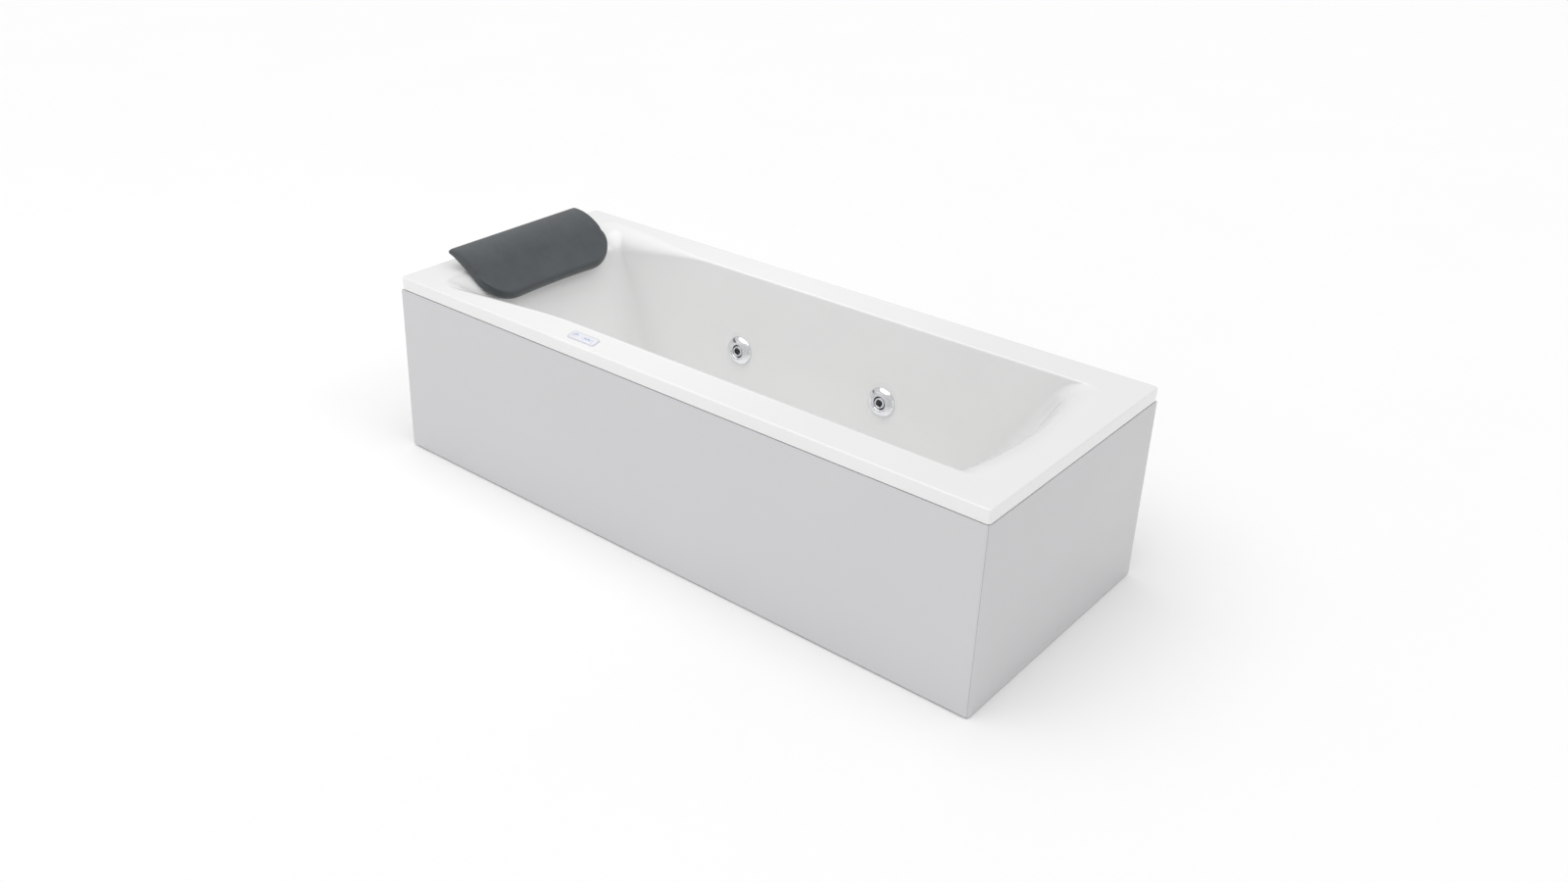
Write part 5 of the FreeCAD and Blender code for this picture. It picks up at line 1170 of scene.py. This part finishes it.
class BATHTUB_OT_panels(Operator):
    """Front and end panels with softly rounded upper and lower edges"""
    bl_idname = "bathtub.add_panels"
    bl_label = "Panels"

    def execute(self, context):
        for node in ("front_panel", "end_panel"):
            bm = node_copy(node)
            low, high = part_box(node)
            level = []
            for edge in bm.edges:
                start, end = (v.co.z for v in edge.verts)
                is_level = abs(start - end) < SAME_HEIGHT
                outer = min(abs(start - low.z), abs(start - high.z)) < SAME_HEIGHT
                if is_level and outer and edge.is_manifold and edge.calc_face_angle(0) > SHARP_ANGLE:
                    level.append(edge)
            bmesh.ops.bevel(bm, geom=level, offset=PANEL_EDGE, offset_type="OFFSET", segments=3, profile=0.5,
                            affect="EDGES", material=-1)
            add_piece(context, node + "_sheet", bm, "root", FINISHES["panel"], [node])
        return {"FINISHED"}


class BATHTUB_OT_works(Operator):
    """Frame, boards, pump, pipes, waste and control box"""
    bl_idname = "bathtub.add_works"
    bl_label = "Works"

    def execute(self, context):
        widths = {
            "panel_clips": 0.0004, "panel_brackets": 0.0005, "base_board": 0.001, "frame_rail_front": 0.0015,
            "frame_rail_rear": 0.0015, "frame_crossbars": 0.0012, "levelling_feet": 0.0008,
            "levelling_nuts": 0.0006, "pump_shelf": 0.001, "suction_body": 0.001, "water_tee": 0.001,
            "air_intake": 0.001, "pump_volute": 0.0015, "motor_housing": 0.0006, "pump_base": 0.001,
            "drain_body": 0.001, "waste_pipe": 0.0008, "trap": 0.0015, "overflow_body": 0.001,
            "control_box": 0.0015, "fan_cover": 0.0006}
        for node, width in widths.items():
            soften(context, node, width)
        for node in ("suction_pipe", "water_pipe_front", "water_pipe_rear", "air_hose_front", "air_hose_rear",
                     "pump_impeller", "motor_stator", "motor_rotor", "motor_bearings", "motor_fan",
                     "overflow_pipe", "drain_cable", "keypad_cable", "pump_cable", "cushion_pegs"):
            dress(node)
        return {"FINISHED"}


# ------------------------------------------------------------------ stage
SENSOR_WIDTH = 36
SHIFT_X = 0.06                  # the tub stands off the middle of the picture
SHIFT_Y = -0.0375
FLOOR_REACH = 12
FLOOR_WHITE = (0.97, 0.97, 0.97)


class StageSettings(PropertyGroup):
    """Camera and light."""
    eye: FloatVectorProperty(name="Camera", description="Place of the camera", subtype="TRANSLATION",
                             default=(1.9284, -2.4400, 1.8429))
    ahead: FloatVectorProperty(name="View", description="Direction the camera looks in", subtype="DIRECTION",
                               default=(-0.58919, 0.67996, -0.43647))
    right: FloatVectorProperty(name="Right", description="Right of the picture", subtype="DIRECTION",
                               default=(0.75233, 0.65870, 0.01060))
    lens: FloatProperty(name="Lens", description="Focal length", default=33.323, unit="CAMERA")
    surroundings: FloatProperty(name="Surroundings", description="Strength of the even white light",
                                default=0.66)
    overhead: FloatProperty(name="Overhead", description="Strength of the wide light from above",
                            default=1.2)


def softbox(context, name, place, target, width, height, power, spread=math.pi):
    """A soft rectangular light."""
    data = bpy.data.lights.new(name, "AREA")
    data.spread = spread
    data.shape = "RECTANGLE"
    data.size = width
    data.size_y = height
    data.energy = power
    hang_light(context, name, data, place, target)


def overhead_light(context, name, place, target, spread, strength):
    """An even light from far above, as soft as its spread."""
    data = bpy.data.lights.new(name, "SUN")
    data.angle = spread
    data.energy = strength
    hang_light(context, name, data, place, target)


def hang_light(context, name, data, place, target):
    """Hangs a light and points it at its target."""
    lamp = bpy.data.objects.new(name, data)
    context.scene.collection.objects.link(lamp)
    lamp.location = place
    lamp.rotation_euler = (Vector(target) - Vector(place)).to_track_quat("-Z", "Y").to_euler()


class BATHTUB_OT_stage(Operator):
    """Camera, soft studio light and a plain pale floor"""
    bl_idname = "bathtub.add_stage"
    bl_label = "Stage"

    def execute(self, context):
        settings = context.scene.bathtub_stage
        ahead = Vector(settings.ahead).normalized()
        right = Vector(settings.right).normalized()
        up = right.cross(ahead).normalized()
        data = bpy.data.cameras.new("view_camera")
        data.sensor_width = SENSOR_WIDTH
        data.lens = settings.lens
        data.shift_x = SHIFT_X
        data.shift_y = SHIFT_Y
        camera = bpy.data.objects.new("view_camera", data)
        context.scene.collection.objects.link(camera)
        turned = Matrix((right, up, -ahead)).transposed().to_4x4()
        camera.matrix_world = Matrix.Translation(settings.eye) @ turned
        context.scene.camera = camera

        bm = bmesh.new()
        bmesh.ops.create_grid(bm, x_segments=8, y_segments=8, size=FLOOR_REACH)
        mesh = bpy.data.meshes.new("studio_floor")
        bm.to_mesh(mesh)
        bm.free()
        floor = bpy.data.objects.new("studio_floor", mesh)
        context.scene.collection.objects.link(floor)
        surface = Finish("studio_floor", FLOOR_WHITE, 0.9)
        surface.tint(surface.noise(2, 2), 0.995, 1.0)
        mesh.materials.append(surface.material)

        world = bpy.data.worlds.new("studio")
        world.use_nodes = True
        sky = world.node_tree.nodes["Background"]
        sky.inputs["Color"].default_value = (1, 1, 1, 1)
        sky.inputs["Strength"].default_value = settings.surroundings
        context.scene.world = world
        spread = math.radians(70)
        overhead_light(context, "overhead", (-0.6, -1.4, 5.0), (0, 0, 0), spread, settings.overhead)
        softbox(context, "front_softbox", (-2.4, -3.6, 1.6), (-0.2, -0.35, 0.25), 3.0, 1.6, 3)
        softbox(context, "head_softbox", (0.55, 0.0, 1.7), (-0.7, 0.0, 0.3), 0.9, 0.7, 0.8, spread)
        context.scene.view_settings.view_transform = "Standard"
        return {"FINISHED"}


# ------------------------------------------------------------------ add-on
GROUPS = (
    ("bathtub_shell", TubSizes),
    ("bathtub_cushion", CushionSizes),
    ("bathtub_fittings", FittingSizes),
    ("bathtub_colours", Colours),
    ("bathtub_stage", StageSettings),
)
STEPS = (BATHTUB_OT_stage, BATHTUB_OT_shell, BATHTUB_OT_cushion, BATHTUB_OT_panels, BATHTUB_OT_jets,
         BATHTUB_OT_fittings, BATHTUB_OT_keypad, BATHTUB_OT_works)


class BATHTUB_PT_pieces(Panel):
    """Buttons for every piece"""
    bl_idname = "BATHTUB_PT_pieces"
    bl_label = "Jetted bathtub"
    bl_space_type = "VIEW_3D"
    bl_region_type = "UI"
    bl_category = "Bathtub"

    def draw(self, context):
        for step in STEPS:
            self.layout.operator(step.bl_idname)
        for name, group in GROUPS:
            box = self.layout.box()
            for key in group.__annotations__:
                box.prop(getattr(context.scene, name), key)


def register():
    """Makes the sizes, operators and panel known."""
    for name, group in GROUPS:
        bpy.utils.register_class(group)
        setattr(bpy.types.Scene, name, PointerProperty(type=group))
    for step in (*STEPS, BATHTUB_PT_pieces):
        bpy.utils.register_class(step)


def unregister():
    """Takes them away again."""
    for step in (*STEPS, BATHTUB_PT_pieces):
        bpy.utils.unregister_class(step)
    for name, group in GROUPS:
        delattr(bpy.types.Scene, name)
        bpy.utils.unregister_class(group)


def main():
    """Builds the whole tub."""
    register()
    FINISHES.update(make_finishes(bpy.context.scene.bathtub_colours))
    for step in STEPS:
        group, call = step.bl_idname.split(".")
        getattr(getattr(bpy.ops, group), call)()


if __name__ == "__main__":
    main()
